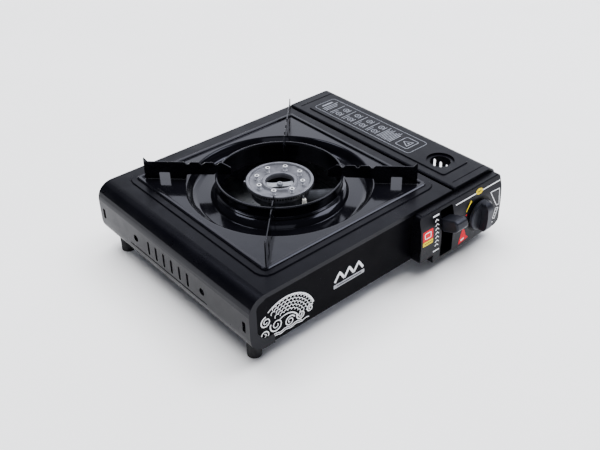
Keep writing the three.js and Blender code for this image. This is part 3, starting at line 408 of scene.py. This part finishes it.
def drip_pan():
    """A square sheet with a raised rim, pressed down into a round moat about the collar."""
    sheet = 0.8 * MM
    corner, least_corner = 5 * MM, 1 * MM
    moat_floor = PAN_FLAT - 12 * MM
    rim = filleted([
        (PAN_HALF, PAN_FLAT + 0.6 * MM), (PAN_HALF, PAN_TOP - 0.9 * MM, 0.3 * MM),
        (PAN_HALF - 1.6 * MM, PAN_TOP, 0.7 * MM), (PAN_HALF - 5 * MM, PAN_TOP, 1.2 * MM),
        (PAN_HALF - 5.6 * MM, PAN_FLAT, 0.7 * MM), (PAN_HALF - 7.4 * MM, PAN_FLAT)], closed=False)
    moat = filleted([
        (100.8 * MM, PAN_FLAT), (98.4 * MM, PAN_FLAT, 3 * MM), (93.4 * MM, PAN_FLAT - 9.6 * MM, 5 * MM),
        (88 * MM, moat_floor, 6 * MM), (73.4 * MM, moat_floor, 1.6 * MM),
        (69.2 * MM, PAN_FLAT - 2.8 * MM)], closed=False)
    bm = bmesh.new()
    angles = pan_angles()
    rings = []
    for half, z in rim:
        points = [square_point(a, half, max(corner - (PAN_HALF - half), least_corner)) for a in angles]
        rings.append([bm.verts.new((PAN.x + px, PAN.y + py, z)) for px, py in points])
    for r, z in moat:
        rings.append([bm.verts.new((PAN.x + r * math.cos(a), PAN.y + r * math.sin(a), z)) for a in angles])
    count = len(angles)
    for outer, inner in zip(rings, rings[1:]):
        for i in range(count):
            bm.faces.new([outer[i], outer[(i + 1) % count], inner[(i + 1) % count], inner[i]])
    piece = make_object("pan_sheet", bm, ENAMEL, "cooktop", sharp=50)
    if piece.data.polygons[count * (len(rim) - 1)].normal.z < 0:
        piece.data.flip_normals()
    solid = piece.modifiers.new("Sheet", "SOLIDIFY")
    solid.thickness = sheet
    solid.offset = -1
    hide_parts("drip_pan")


RIB_OUT, RIB_ALONG = 104 * MM, 69 * MM  # a rib's place from the pan's middle, toward its side and along it


def pan_rib(name, x, y, turn):
    """A short rounded bead pressed up out of the pan's flat."""
    length, width, height = 9 * MM, 0.8 * MM, 0.9 * MM
    foot = -0.4  # how far the bead reaches into the sheet, in heights
    rows, columns = 12, 24
    tilts = [math.pi * i / rows for i in range(rows + 1)]  # from straight up to straight down
    bm = turned(bmesh.new(), [(math.sin(a), math.cos(a)) for a in tilts], 0, 0, columns)
    for vertex in bm.verts:
        side = 0 if abs(vertex.co.x) < 1e-6 else math.copysign(1, vertex.co.x)
        along = vertex.co.x + (length - width) / width * side
        vertex.co = Vector((along * width, vertex.co.y * width, max(vertex.co.z, foot) * height))
    placed = Matrix.Translation((x, y, PAN_FLAT)) @ Matrix.Rotation(turn, 4, "Z")
    bmesh.ops.transform(bm, matrix=placed, verts=bm.verts)
    make_object(name, bm, ENAMEL, "cooktop")


# ------------------------------------------------------------------ wind ring and burner cap
def about_pan(radius, turn, z):
    """The point at this radius and angle about the pan's upright axis."""
    return PAN.x + radius * math.cos(turn), PAN.y + radius * math.sin(turn), z


def wind_ring():
    """The rolled-rim wall in the pan's collar, notched for the four blades."""
    low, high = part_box("wind_ring")
    top = high.z
    step = top - 13.8 * MM  # the flange that rests on the pan's collar
    rim_r, flange_r, wall_r = 67.8 * MM, 69.4 * MM, 66.5 * MM
    profile = filleted([
        (65.2 * MM, low.z), (66.2 * MM, low.z), (66.8 * MM, step + 0.3 * MM),
        (flange_r, step + 0.3 * MM, 0.3 * MM), (flange_r, step + 1.1 * MM, 0.3 * MM),
        (66.9 * MM, step + 1.9 * MM, 1 * MM), (66.6 * MM, top - 3.2 * MM, 1 * MM),
        (rim_r, top - 2.2 * MM, 0.5 * MM), (rim_r, top, 0.9 * MM), (64.9 * MM, top, 0.9 * MM),
        (65.6 * MM, top - 3 * MM, 1 * MM), (65.8 * MM, step + 1 * MM)], steps=4)
    piece = make_object("ring_wall", turned(bmesh.new(), profile, PAN.x, PAN.y), ENAMEL, "cooktop")
    notch_half = (4 * MM, 0.9 * MM, 3 * MM)
    notches = []
    for quarter in range(4):
        turn = math.pi / 4 + math.pi / 2 * quarter
        notches.append((about_pan(wall_r, turn, top - 1 * MM), notch_half, turn))
    cut_boxes(piece, notches)
    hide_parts("wind_ring")


def cap_disc(low_z, top, r):
    """The cast cap, with a toothed rim whose gaps are backed by a black ring of painted shade."""
    profile = filleted([
        (15 * MM, low_z + 2.1 * MM), (18.2 * MM, low_z + 1.5 * MM), (28 * MM, low_z + 0.9 * MM),
        (30.5 * MM, low_z), (32.5 * MM, low_z, 0.3 * MM), (32.7 * MM, low_z + 3.3 * MM),
        (r - 0.8 * MM, low_z + 4.1 * MM, 0.3 * MM), (r, low_z + 5.2 * MM, 0.5 * MM), (r, top, 1 * MM),
        (33.2 * MM, top, 0.8 * MM), (31.8 * MM, top - 1.9 * MM, 1 * MM),
        (20.6 * MM, top - 4.6 * MM, 1.4 * MM), (18.2 * MM, top - 2 * MM, 0.8 * MM),
        (15.6 * MM, top - 2 * MM, 0.8 * MM), (15 * MM, top - 3.6 * MM)], steps=4)
    disc = make_object("cap_disc", turned(bmesh.new(), profile, PAN.x, PAN.y), ALUMINIUM, "stove_body")
    teeth, gap_half = 78, (2.6 * MM, 0.9 * MM, 1.9 * MM)
    turns = [2 * math.pi * i / teeth for i in range(teeth)]
    cut_boxes(disc, [(about_pan(r - 0.6 * MM, turn, low_z + 5.4 * MM), gap_half, turn) for turn in turns])
    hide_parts("burner_cap")
    # a black ring just inside the teeth: painted shade, so that the gaps read dark
    inner, outer = r - 3 * MM, r - 1.6 * MM
    floor_z, roof_z = low_z + 4.5 * MM, low_z + 7.1 * MM
    shade_ring = [(inner, floor_z), (outer, floor_z), (outer, roof_z), (inner, roof_z)]
    make_object("cap_gap_shade", turned(bmesh.new(), shade_ring, PAN.x, PAN.y), HOLE_SHADE, "stove_body")


def cap_jets(tip):
    """Eight flared jets that stand up out of the cap, and black discs of painted shade in their bores."""
    jets, jet_ring, first = 8, 25 * MM, math.radians(-9)
    bore, flare, root = 1.5 * MM, 2.6 * MM, tip - 6 * MM
    post = filleted([
        (bore, tip - 3 * MM), (bore, tip), (flare, tip, 0.3 * MM), (flare, tip - 1.1 * MM, 0.3 * MM),
        (1.7 * MM, tip - 1.8 * MM, 0.3 * MM), (1.8 * MM, tip - 3.6 * MM, 0.6 * MM), (2.7 * MM, root),
        (0.2 * MM, root), (0.2 * MM, tip - 3 * MM)], steps=3)
    # a black disc a little way down each bore: painted shade for the dark of the hole
    hole_shade = [(0, tip - 2.9 * MM), (bore, tip - 2.9 * MM), (bore, tip - 0.2 * MM), (0, tip - 0.4 * MM)]
    posts, bores = bmesh.new(), bmesh.new()
    for i in range(jets):
        x, y = about_pan(jet_ring, first + 2 * math.pi * i / jets, tip)[:2]
        turned(posts, post, x, y, SMALL_ROUND)
        turned(bores, hole_shade, x, y, SMALL_ROUND)
    make_object("cap_jets", posts, JET_STEEL, "stove_body")
    make_object("jet_bore_shade", bores, HOLE_SHADE, "stove_body")


def cap_lug(top, turn):
    """The small lug that sticks out of the cap's edge."""
    bm = bmesh.new()
    outline = filleted([(34.8, -1.9), (38.2, -1.3, 0.8), (38.2, 1.3, 0.8), (34.8, 1.9)], steps=4)
    prism(bm, [(p.x * MM, p.y * MM) for p in outline], top - 4.2 * MM, top - 1.8 * MM)
    placed = Matrix.Translation((PAN.x, PAN.y, 0)) @ Matrix.Rotation(turn, 4, "Z")
    bmesh.ops.transform(bm, verts=bm.verts, matrix=placed)
    make_object("cap_lug", bm, ALUMINIUM, "stove_body")


def burner_cap():
    low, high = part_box("burner_cap")
    jet_rise = 1.5 * MM  # the jets' tips stand this far above the cap's rim
    top = high.z - jet_rise
    cap_disc(low.z, top, 36.3 * MM)
    cap_jets(high.z)
    cap_lug(top, math.radians(140))


def prism(bm, outline, z0, z1):
    """Adds a solid with this flat outline between two heights."""
    low = [bm.verts.new((x, y, z0)) for x, y in outline]
    high = [bm.verts.new((x, y, z1)) for x, y in outline]
    bm.faces.new(low[::-1])
    bm.faces.new(high)
    for i in range(len(outline)):
        j = (i + 1) % len(outline)
        bm.faces.new([low[i], low[j], high[j], high[i]])


# ------------------------------------------------------------------ printing
BASE_COAT, OVERPRINT, TOP_PRINT = 0.03 * MM, 0.1 * MM, 0.17 * MM  # how far each layer of ink lies off the CAD


class Print:
    """Ink laid on a CAD surface: drawn in two of the frame's axes, dropped on the surface along the third."""

    INK = 0.05 * MM  # the ink's thickness
    STEP = 1.5 * MM  # the longest piece of a band or slice of a filling

    def __init__(self, node, toward, point, lift):
        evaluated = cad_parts[node].evaluated_get(bpy.context.evaluated_depsgraph_get())
        self.tree = BVHTree.FromObject(evaluated, bpy.context.evaluated_depsgraph_get())
        self.toward = Vector(toward)
        self.point = point
        self.lift = lift
        self.bm = bmesh.new()

    def place(self, a, b):
        start = self.point(a, b)
        hit = self.tree.ray_cast(start, self.toward)[0]
        if hit is None:
            raise ValueError(f"print at {a:.4f}, {b:.4f} misses its surface")
        return hit - self.toward * self.lift

    def stroke(self, points, width, closed=False):
        """A band of even width, or of (first, last) width, along the points."""
        points = [Vector(p) for p in points]
        if closed:
            points.append(points[0])
        path = [points[0]]
        for start, end in zip(points, points[1:]):
            steps = max(1, math.ceil((end - start).length / self.STEP))
            path += [start.lerp(end, (i + 1) / steps) for i in range(steps)]
        first, last = width if isinstance(width, tuple) else (width, width)
        left, right = [], []
        for i, here in enumerate(path):
            before = path[i - 1] if i else (path[-2] if closed else here)
            after = path[i + 1] if i + 1 < len(path) else (path[1] if closed else here)
            along = (here - before).normalized() + (after - here).normalized()
            across = Vector((-along.y, along.x)).normalized()
            half = (first + (last - first) * i / (len(path) - 1)) / 2
            left.append(self.bm.verts.new(self.place(*(here + across * half))))
            right.append(self.bm.verts.new(self.place(*(here - across * half))))
        for i in range(len(path) - 1):
            self.bm.faces.new([left[i], right[i], right[i + 1], left[i + 1]])

    def fill(self, outline):
        """A filled shape, sliced so that it follows a surface that curves with height."""
        flat = bmesh.new()
        flat.faces.new([flat.verts.new((p[0], p[1], 0)) for p in outline])
        low, high = min(p[1] for p in outline), max(p[1] for p in outline)
        for i in range(1, math.ceil((high - low) / self.STEP)):
            bmesh.ops.bisect_plane(flat, geom=flat.verts[:] + flat.edges[:] + flat.faces[:],
                                   plane_co=(0, low + i * self.STEP, 0), plane_no=(0, 1, 0))
        bmesh.ops.triangulate(flat, faces=flat.faces)
        made = {v: self.bm.verts.new(self.place(v.co.x, v.co.y)) for v in flat.verts}
        for face in flat.faces:
            self.bm.faces.new([made[v] for v in face.verts])
        flat.free()

    def finish(self, name, material, body):
        for face in self.bm.faces:
            face.normal_update()
            if face.normal.dot(self.toward) > 0:
                face.normal_flip()
        mesh = bpy.data.meshes.new(name)
        self.bm.to_mesh(mesh)
        self.bm.free()
        mesh.materials.append(material)
        piece = bpy.data.objects.new(name, mesh)
        bpy.context.scene.collection.objects.link(piece)
        solid = piece.modifiers.new("Ink", "SOLIDIFY")
        solid.thickness = self.INK
        solid.offset = 1
        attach(piece, body)


def rounded_box(x0, z0, x1, z1, r, steps=5):
    return filleted([(x0, z0, r), (x1, z0, r), (x1, z1, r), (x0, z1, r)], steps=steps)


def arc(x, z, r, start, end, steps=14):
    angles = [math.radians(start + (end - start) * i / steps) for i in range(steps + 1)]
    return [(x + r * math.cos(a), z + r * math.sin(a)) for a in angles]


def disc(x, z, rx, rz=None, points=20):
    rz = rx if rz is None else rz
    angles = [2 * math.pi * i / points for i in range(points)]
    return [(x + rx * math.cos(a), z + rz * math.sin(a)) for a in angles]


def front_print(lift=BASE_COAT, node="control_housing"):
    return Print(node, (0, 1, 0), lambda x, z: Vector((x, cad_low.y, z)), lift)


def box_label():
    """Lock marks on the left of the control housing."""
    left, right = HOUSING_LOW.x + 2.6 * MM, HOUSING_LOW.x + 17.8 * MM
    red = front_print()
    red.fill(rounded_box(left, 48 * MM, right, 60 * MM, 1.2 * MM))
    red.finish("label_red", RED_INK, "stove_body")
    yellow = front_print()
    yellow.fill(rounded_box(left, 42.4 * MM, right, 47.6 * MM, 1 * MM))
    yellow.finish("label_yellow", YELLOW_INK, "stove_body")
    white = front_print(OVERPRINT)
    window = rounded_box(left + 3.2 * MM, 50.8 * MM, right - 3.2 * MM, 57.2 * MM, 1.4 * MM)
    white.stroke(window, 1 * MM, closed=True)
    column = HOUSING_LOW.x + 24 * MM
    for z in (70.5 * MM, 29 * MM):
        white.stroke([(column - 4.6 * MM, z), (column + 4.6 * MM, z)], 1.6 * MM)
    arrows, half_arrow = 7, 2.6 * MM
    for i in range(arrows):
        z = (35 + 4.9 * i) * MM
        white.stroke([(column - half_arrow, z), (column, z + 2.2 * MM), (column + half_arrow, z)], 1 * MM)
    white.finish("label_white", WHITE_INK, "stove_body")
    marks = front_print(OVERPRINT)
    dashes, dash_z = 5, 45 * MM
    for i in range(dashes):
        x = left + (2.6 + 2.5 * i) * MM
        marks.stroke([(x, dash_z), (x + 1.5 * MM, dash_z)], 1.3 * MM)
    marks.finish("label_marks", BLACK_INK, "stove_body")


DIAL_LINE_Z = 69.6 * MM  # height of the long line above the knob
TAG_Z = DIAL_LINE_Z + 0.6 * MM  # middle of the yellow tag on it
FLAME_X = 152.8 * MM


def dial_scale():
    """The white of the knob's scale: a long line, two wedges, three ticks, a flame and a dot."""
    white = front_print()
    line_from, line_to = HOUSING_HIGH.x - 75 * MM, HOUSING_HIGH.x - 1.2 * MM
    white.stroke([(line_from, DIAL_LINE_Z), (line_to, DIAL_LINE_Z)], 1.1 * MM)
    flow_wedge = [(149.5, 62), (165, 61), (165.6, 41), (161, 41.4)]
    low_wedge = [(160.6, 37.6), (165, 36.6), (160.6, 24), (157, 26)]
    white.stroke([(x * MM, z * MM) for x, z in flow_wedge], 0.9 * MM, closed=True)
    white.stroke([(x * MM, z * MM) for x, z in low_wedge], 0.8 * MM, closed=True)
    ticks = 3
    for i in range(ticks):
        z = (35 - 3.4 * i) * MM
        x = (160.2 - 0.9 * i) * MM
        white.stroke([(x, z), (x + 2.6 * MM, z - 0.6 * MM)], 0.6 * MM)
    white.fill(disc(FLAME_X, 23.6 * MM, 2 * MM, 3.2 * MM))
    white.fill(disc(157.2 * MM, 20.6 * MM, 0.9 * MM))
    white.finish("dial_white", WHITE_INK, "stove_body")


def dial_warning():
    """The red tag at the panel's lower left, and a dot above it."""
    red = front_print()
    red.fill(filleted([
        (104.6 * MM, 35.4 * MM, 1 * MM), (99.6 * MM, 17.4 * MM, 1 * MM), (108 * MM, 19 * MM),
        (117 * MM, 20.6 * MM, 1 * MM), (111.4 * MM, 24.4 * MM, 3 * MM), (108 * MM, 34 * MM, 1 * MM)]))
    red.fill(disc(109.4 * MM, 51.2 * MM, 0.9 * MM))
    red.finish("dial_red", RED_INK, "stove_body")


def dial_overprint():
    """Ink over ink: dashes on the yellow tag, the flame's core and a dash on the red tag."""
    marks = front_print(TOP_PRINT)
    dashes = 3
    for i in range(dashes):
        x = KNOB.x + (-1.9 + 2.2 * i) * MM
        marks.stroke([(x, TAG_Z), (x + 1.2 * MM, TAG_Z)], 1.2 * MM)
    marks.finish("dial_marks", BLACK_INK, "stove_body")
    flame = front_print(OVERPRINT)
    flame.fill(disc(FLAME_X, 22.8 * MM, 1 * MM, 1.8 * MM))
    flame.finish("dial_flame", RED_INK, "stove_body")
    dash = front_print(OVERPRINT)
    dash.stroke([(103.4 * MM, 21.4 * MM), (108.4 * MM, 22.6 * MM)], 1.8 * MM)
    dash.finish("dial_dash", WHITE_INK, "stove_body")


def dial_print():
    """All the ink round the knob, from the black disc of painted shade behind it up."""
    # a flat black disc round the knob: painted shade in place of a recess
    knob_shade = front_print()
    knob_shade.fill(disc(KNOB.x, KNOB.z, KNOB_R + 2.4 * MM, points=64))
    knob_shade.finish("dial_shade", KNOB_SHADE_INK, "stove_body")
    dial_scale()
    yellow = front_print(OVERPRINT)
    yellow.fill(disc(KNOB.x + 1 * MM, TAG_Z, 5.6 * MM, 3 * MM, 32))
    yellow.stroke(arc(KNOB.x, KNOB.z, KNOB_R + 6.4 * MM, 153, 122), (0.9 * MM, 1.9 * MM))
    yellow.finish("dial_yellow", YELLOW_INK, "stove_body")
    dial_warning()
    dial_overprint()


def spiral(x, z, outer, turns, start):
    """Points of a curl that winds inward from its outer radius."""
    steps = int(18 * turns)
    points = []
    for i in range(steps + 1):
        share = i / steps
        angle = math.radians(start) + 2 * math.pi * turns * share
        r = outer * (1 - 0.82 * share)
        points.append((x + r * math.cos(angle), z + r * math.sin(angle)))
    return points


def wave_print():
    """Curls, wave lines and a curved band of scales at the front's left corner."""
    white = front_print(node="front_panel")
    left = CASE_LOW.x
    curls = ((17, 32.5, 6.2, 200), (31.5, 37, 7.8, 150), (47.5, 32.5, 6.2, 20), (19.5, 47, 6.4, 90),
             (61, 32.5, 5.2, 160), (72.5, 34, 4.4, 40))
    for x, z, outer, start in curls:
        white.stroke(spiral(left + x * MM, z * MM, outer * MM, 1.7, start), (1.4 * MM, 0.8 * MM))
    middle_x, middle_z = left + 43 * MM, 28 * MM
    scale, rows, first_row = 4.4 * MM, 5, 18 * MM
    rise = scale * 0.8  # from one row of scales to the next
    for row in range(rows):
        r = first_row + row * rise
        step = scale / r
        for column in range(int(math.radians(106) / step)):
            angle = math.radians(20) + step * (column + (row % 2) / 2)
            x, z = middle_x + r * math.cos(angle), middle_z + r * math.sin(angle)
            facing = math.degrees(angle)
            white.stroke(arc(x, z, scale * 0.56, facing - 88, facing + 88, 7), 0.8 * MM)
    for r in (15.2 * MM, first_row + rows * rise):
        white.stroke(arc(middle_x, middle_z, r, 18, 126, 24), (1.7 * MM, 0.9 * MM))
    waves, first_points = 2, 20
    for line in range(waves):
        points = first_points - 3 * line
        wave = [(left + (14 + 3 * i) * MM, (24.4 + 2.2 * line + 0.8 * math.sin(1.5 * i)) * MM)
                for i in range(points)]
        white.stroke(wave, 0.9 * MM)
    white.finish("wave_print", WHITE_INK, "stove_body")


def front_emblem():
    """A plain row of peaks over a strip with a bar on it."""
    white = front_print(node="front_panel")
    x0, z0 = CASE_LOW.x + 103 * MM, 46.4 * MM
    peaks, pitch, rise = 3, 12.6 * MM, 9.6 * MM
    for i in range(peaks):
        x = x0 + 1.4 * MM + i * pitch
        white.stroke([(x, z0), (x + pitch / 2, z0 + rise), (x + pitch, z0)], 2.7 * MM)
    white.finish("front_emblem", WHITE_INK, "stove_body")
    strip = front_print(node="front_panel")
    strip.fill(rounded_box(x0, z0 - 7.4 * MM, x0 + 41 * MM, z0 - 3 * MM, 0.6 * MM))
    strip.finish("front_strip", GREY_INK, "stove_body")
    bar = front_print(OVERPRINT, "front_panel")
    bar_z = z0 - 5.2 * MM
    bar.stroke([(x0 + 4 * MM, bar_z), (x0 + 37 * MM, bar_z)], 1.2 * MM)
    bar.finish("front_bar", BLACK_INK, "stove_body")


def lid_pictograms(sheet, left, right, top):
    """Four groups, each a long line, a short line and two rings that hold a dash and stand on a line."""
    groups, group_pitch, ring_r = 4, 20, 3.4 * MM
    for group in range(groups):
        y = top - (24 + group_pitch * group) * MM
        sheet.stroke([(left, y), (right, y)], 0.8 * MM)
        sheet.stroke([(left, y - 3 * MM), (left + 11 * MM, y - 3 * MM)], 0.8 * MM)
        ring_y, foot_y = y - 9.5 * MM, y - 14.4 * MM
        for side in range(2):
            x = left + (5.5 + 12.5 * side) * MM
            sheet.stroke(disc(x, ring_y, ring_r, ring_r, 14), 0.8 * MM, closed=True)
            sheet.stroke([(x - 4.4 * MM, foot_y), (x + 4.4 * MM, foot_y)], 0.8 * MM)
            sheet.stroke([(x - 1.6 * MM, ring_y), (x + 1.6 * MM, ring_y)], 0.9 * MM)


def lid_warning(sheet, left, right, low):
    """A triangle with a dot in it, in a box at the label's front end."""
    box = rounded_box(left + 2 * MM, low, right - 2 * MM, low + 18 * MM, 2 * MM)
    sheet.stroke(box, 0.8 * MM, closed=True)
    cx = (left + right) / 2
    triangle = [(cx - 6 * MM, low + 4 * MM), (cx, low + 14 * MM), (cx + 6 * MM, low + 4 * MM)]
    sheet.stroke(triangle, 0.9 * MM, closed=True)
    sheet.fill(disc(cx, low + 6.6 * MM, 1.2 * MM))


def lid_label():
    """Outlined instruction panel with plain bars and simple pictograms in place of words."""
    sheet = Print("cartridge_lid", (0, 0, -1), lambda x, y: Vector((x, y, cad_high.z)), BASE_COAT)
    x0, x1 = LID_LOW.x + 16.8 * MM, LID_LOW.x + 49.4 * MM
    y0, y1 = LID_LOW.y + 80 * MM, LID_LOW.y + 236 * MM
    sheet.stroke(rounded_box(x0, y0, x1, y1, 4 * MM), 0.55 * MM, closed=True)
    left, right = x0 + 4 * MM, x1 - 4 * MM
    sheet.stroke([(left + 4 * MM, y1 - 6 * MM), (right - 4 * MM, y1 - 6 * MM)], 2.4 * MM)
    heading_lines = 3
    for i in range(heading_lines):
        y = y1 - (11 + 3 * i) * MM
        sheet.stroke([(left, y), (right - i * 3 * MM, y)], 1 * MM)
    lid_pictograms(sheet, left, right, y1)
    text_lines = 9
    for i in range(text_lines):
        y = y1 - (103 + 2.5 * i) * MM
        ragged = (i * 5 % 7) * MM  # how far short of the margin this line stops
        sheet.stroke([(left, y), (right - ragged, y)], 0.9 * MM)
    lid_warning(sheet, left, right, y0 + 8 * MM)
    sheet.finish("lid_label", LABEL_INK, "lid")


# ------------------------------------------------------------------ CAD nodes that keep their shape
def dress_frame():
    corners = ("front_left", "back_left", "front_right", "back_right")
    dress("casing_top", PAINT, 0.45 * MM, 3, merge_flats=False)
    dress("cartridge_lid", PAINT, 0.4 * MM, 3)
    dress("front_panel", SHADED_PAINT, 0.3 * MM)
    dress("back_panel", SHADED_PAINT, 0.3 * MM)
    dress("control_housing", PLASTIC, 0.6 * MM, 3)
    dress("knob", HANDLE_PLASTIC, 0.9 * MM, 3)
    dress("lever_handle", HANDLE_PLASTIC, 0.9 * MM, 3)
    for corner in corners:
        dress(f"pot_support_{corner}", ENAMEL, 0.3 * MM, 3)
        dress(f"foot_{corner}", RUBBER, 0.6 * MM, 3)
        dress(f"foot_screw_{corner}", ZINC, 0.12 * MM)
    for node in ("base_tray", "partition", "cartridge_rest", "carriage", "regulator_bracket", "lever_bracket",
                 "lever_arm", "burner_bracket", "electrode_clip", "burner_crossbar"):
        dress(node, ZINC, 0.25 * MM)
    for node in ("front_screw", "back_screw_left", "back_screw_right", "burner_screw", "bracket_screw_left",
                 "bracket_screw_right", "electrode_rod", "lever_pin", "lid_pin_front", "lid_pin_back",
                 "regulator_bonnet"):
        dress(node, ZINC, 0.12 * MM)
    for node in ("burner_body", "regulator_body"):
        dress(node, CASTING, 0.4 * MM)
    for node in ("gas_nozzle", "valve_shaft"):
        dress(node, BRASS, 0.15 * MM)
    for node in ("piezo_igniter", "igniter_cam"):
        dress(node, PLASTIC, 0.3 * MM)
    dress("inlet_seal", RUBBER, 0.3 * MM)
    dress("electrode_insulator", CERAMIC, 0.25 * MM)
    dress("igniter_lead", SLEEVE, 0.1 * MM)


# ------------------------------------------------------------------ floor, camera, light
CAMERA_AT = Vector((-0.4844, -0.5541, 0.5399))
YAW, PITCH, ROLL = (math.radians(a) for a in (-40.4, -35.0, -1.2))
LENS = 48.9
COOL_WHITE = (0.9, 0.92, 1.0)


def camera():
    forward = Vector((-math.sin(YAW) * math.cos(PITCH), math.cos(YAW) * math.cos(PITCH), math.sin(PITCH)))
    right = forward.cross(Vector((0, 0, 1))).normalized()
    up = right.cross(forward)
    rolled_right = right * math.cos(ROLL) + up * math.sin(ROLL)
    rolled_up = up * math.cos(ROLL) - right * math.sin(ROLL)
    data = bpy.data.cameras.new("photo_camera")
    data.lens = LENS
    data.sensor_width = 36
    piece = bpy.data.objects.new("photo_camera", data)
    turn = Matrix((rolled_right, rolled_up, -forward)).transposed().to_4x4()
    piece.matrix_world = Matrix.Translation(CAMERA_AT) @ turn
    bpy.context.scene.collection.objects.link(piece)
    bpy.context.scene.camera = piece


def floor():
    bm = bmesh.new()
    half, drop = 60.0, -0.05 * MM
    corners = ((-half, -half), (half, -half), (half, half), (-half, half))
    bm.faces.new([bm.verts.new((x, y, drop)) for x, y in corners])
    mesh = bpy.data.meshes.new("floor")
    bm.to_mesh(mesh)
    bm.free()
    look = Surface("floor_paper", specular=0.1)
    look.colour(linear(247, 247, 248), linear(251, 251, 252), 0.4).roughness(0.8, 0.9, 0.3)
    mesh.materials.append(look.material)
    piece = bpy.data.objects.new("floor", mesh)
    bpy.context.scene.collection.objects.link(piece)


def soft_box(name, azimuth, elevation, distance, size, radiance):
    """A rectangle of light that faces the stove. Azimuth runs from +X toward +Y, in degrees."""
    turn, rise = math.radians(azimuth), math.radians(elevation)
    away = Vector((math.cos(turn) * math.cos(rise), math.sin(turn) * math.cos(rise), math.sin(rise)))
    data = bpy.data.lights.new(name, "AREA")
    data.shape = "RECTANGLE"
    data.size, data.size_y = size
    data.energy = radiance * math.pi * size[0] * size[1]
    data.color = COOL_WHITE
    piece = bpy.data.objects.new(name, data)
    piece.location = away * distance
    piece.rotation_euler = (-away).to_track_quat("-Z", "Y").to_euler()
    bpy.context.scene.collection.objects.link(piece)


def lights():
    world = bpy.data.worlds.new("studio")
    world.use_nodes = True
    world.node_tree.nodes["Background"].inputs["Color"].default_value = (0.82, 0.86, 1.0, 1)
    world.node_tree.nodes["Background"].inputs["Strength"].default_value = 0.09
    bpy.context.scene.world = world
    soft_box("back_box", 43, 30, 2.4, (2.2, 1.2), 2.3)
    soft_box("right_box", 8, 27, 2.0, (0.9, 0.9), 2.0)
    soft_box("left_box", 85, 36, 2.2, (0.6, 0.9), 0.7)
    soft_box("front_box", 232, 40, 2.4, (1.4, 1.2), 0.9)
    soft_box("right_rim", -22, 52, 2.2, (1.1, 0.9), 8.0)
    soft_box("left_rim", 108, 62, 2.2, (0.8, 0.6), 7.0)
    overhead = bpy.data.lights.new("overhead", "SUN")
    overhead.energy = 7.0
    overhead.angle = math.radians(70)
    piece = bpy.data.objects.new("overhead", overhead)
    piece.visible_glossy = False  # a tent of light that leaves no mirror image of its own
    piece.rotation_euler = (math.radians(-8), math.radians(8), 0)
    bpy.context.scene.collection.objects.link(piece)


# ------------------------------------------------------------------ everything
camera()
floor()
lights()
dress_frame()
drip_pan()
pan_rib("pan_rib_left", PAN.x - RIB_OUT, PAN.y + RIB_ALONG, math.pi / 2)
pan_rib("pan_rib_front", PAN.x + RIB_ALONG, PAN.y - RIB_OUT, 0)
wind_ring()
burner_cap()
box_label()
dial_print()
wave_print()
front_emblem()
lid_label()
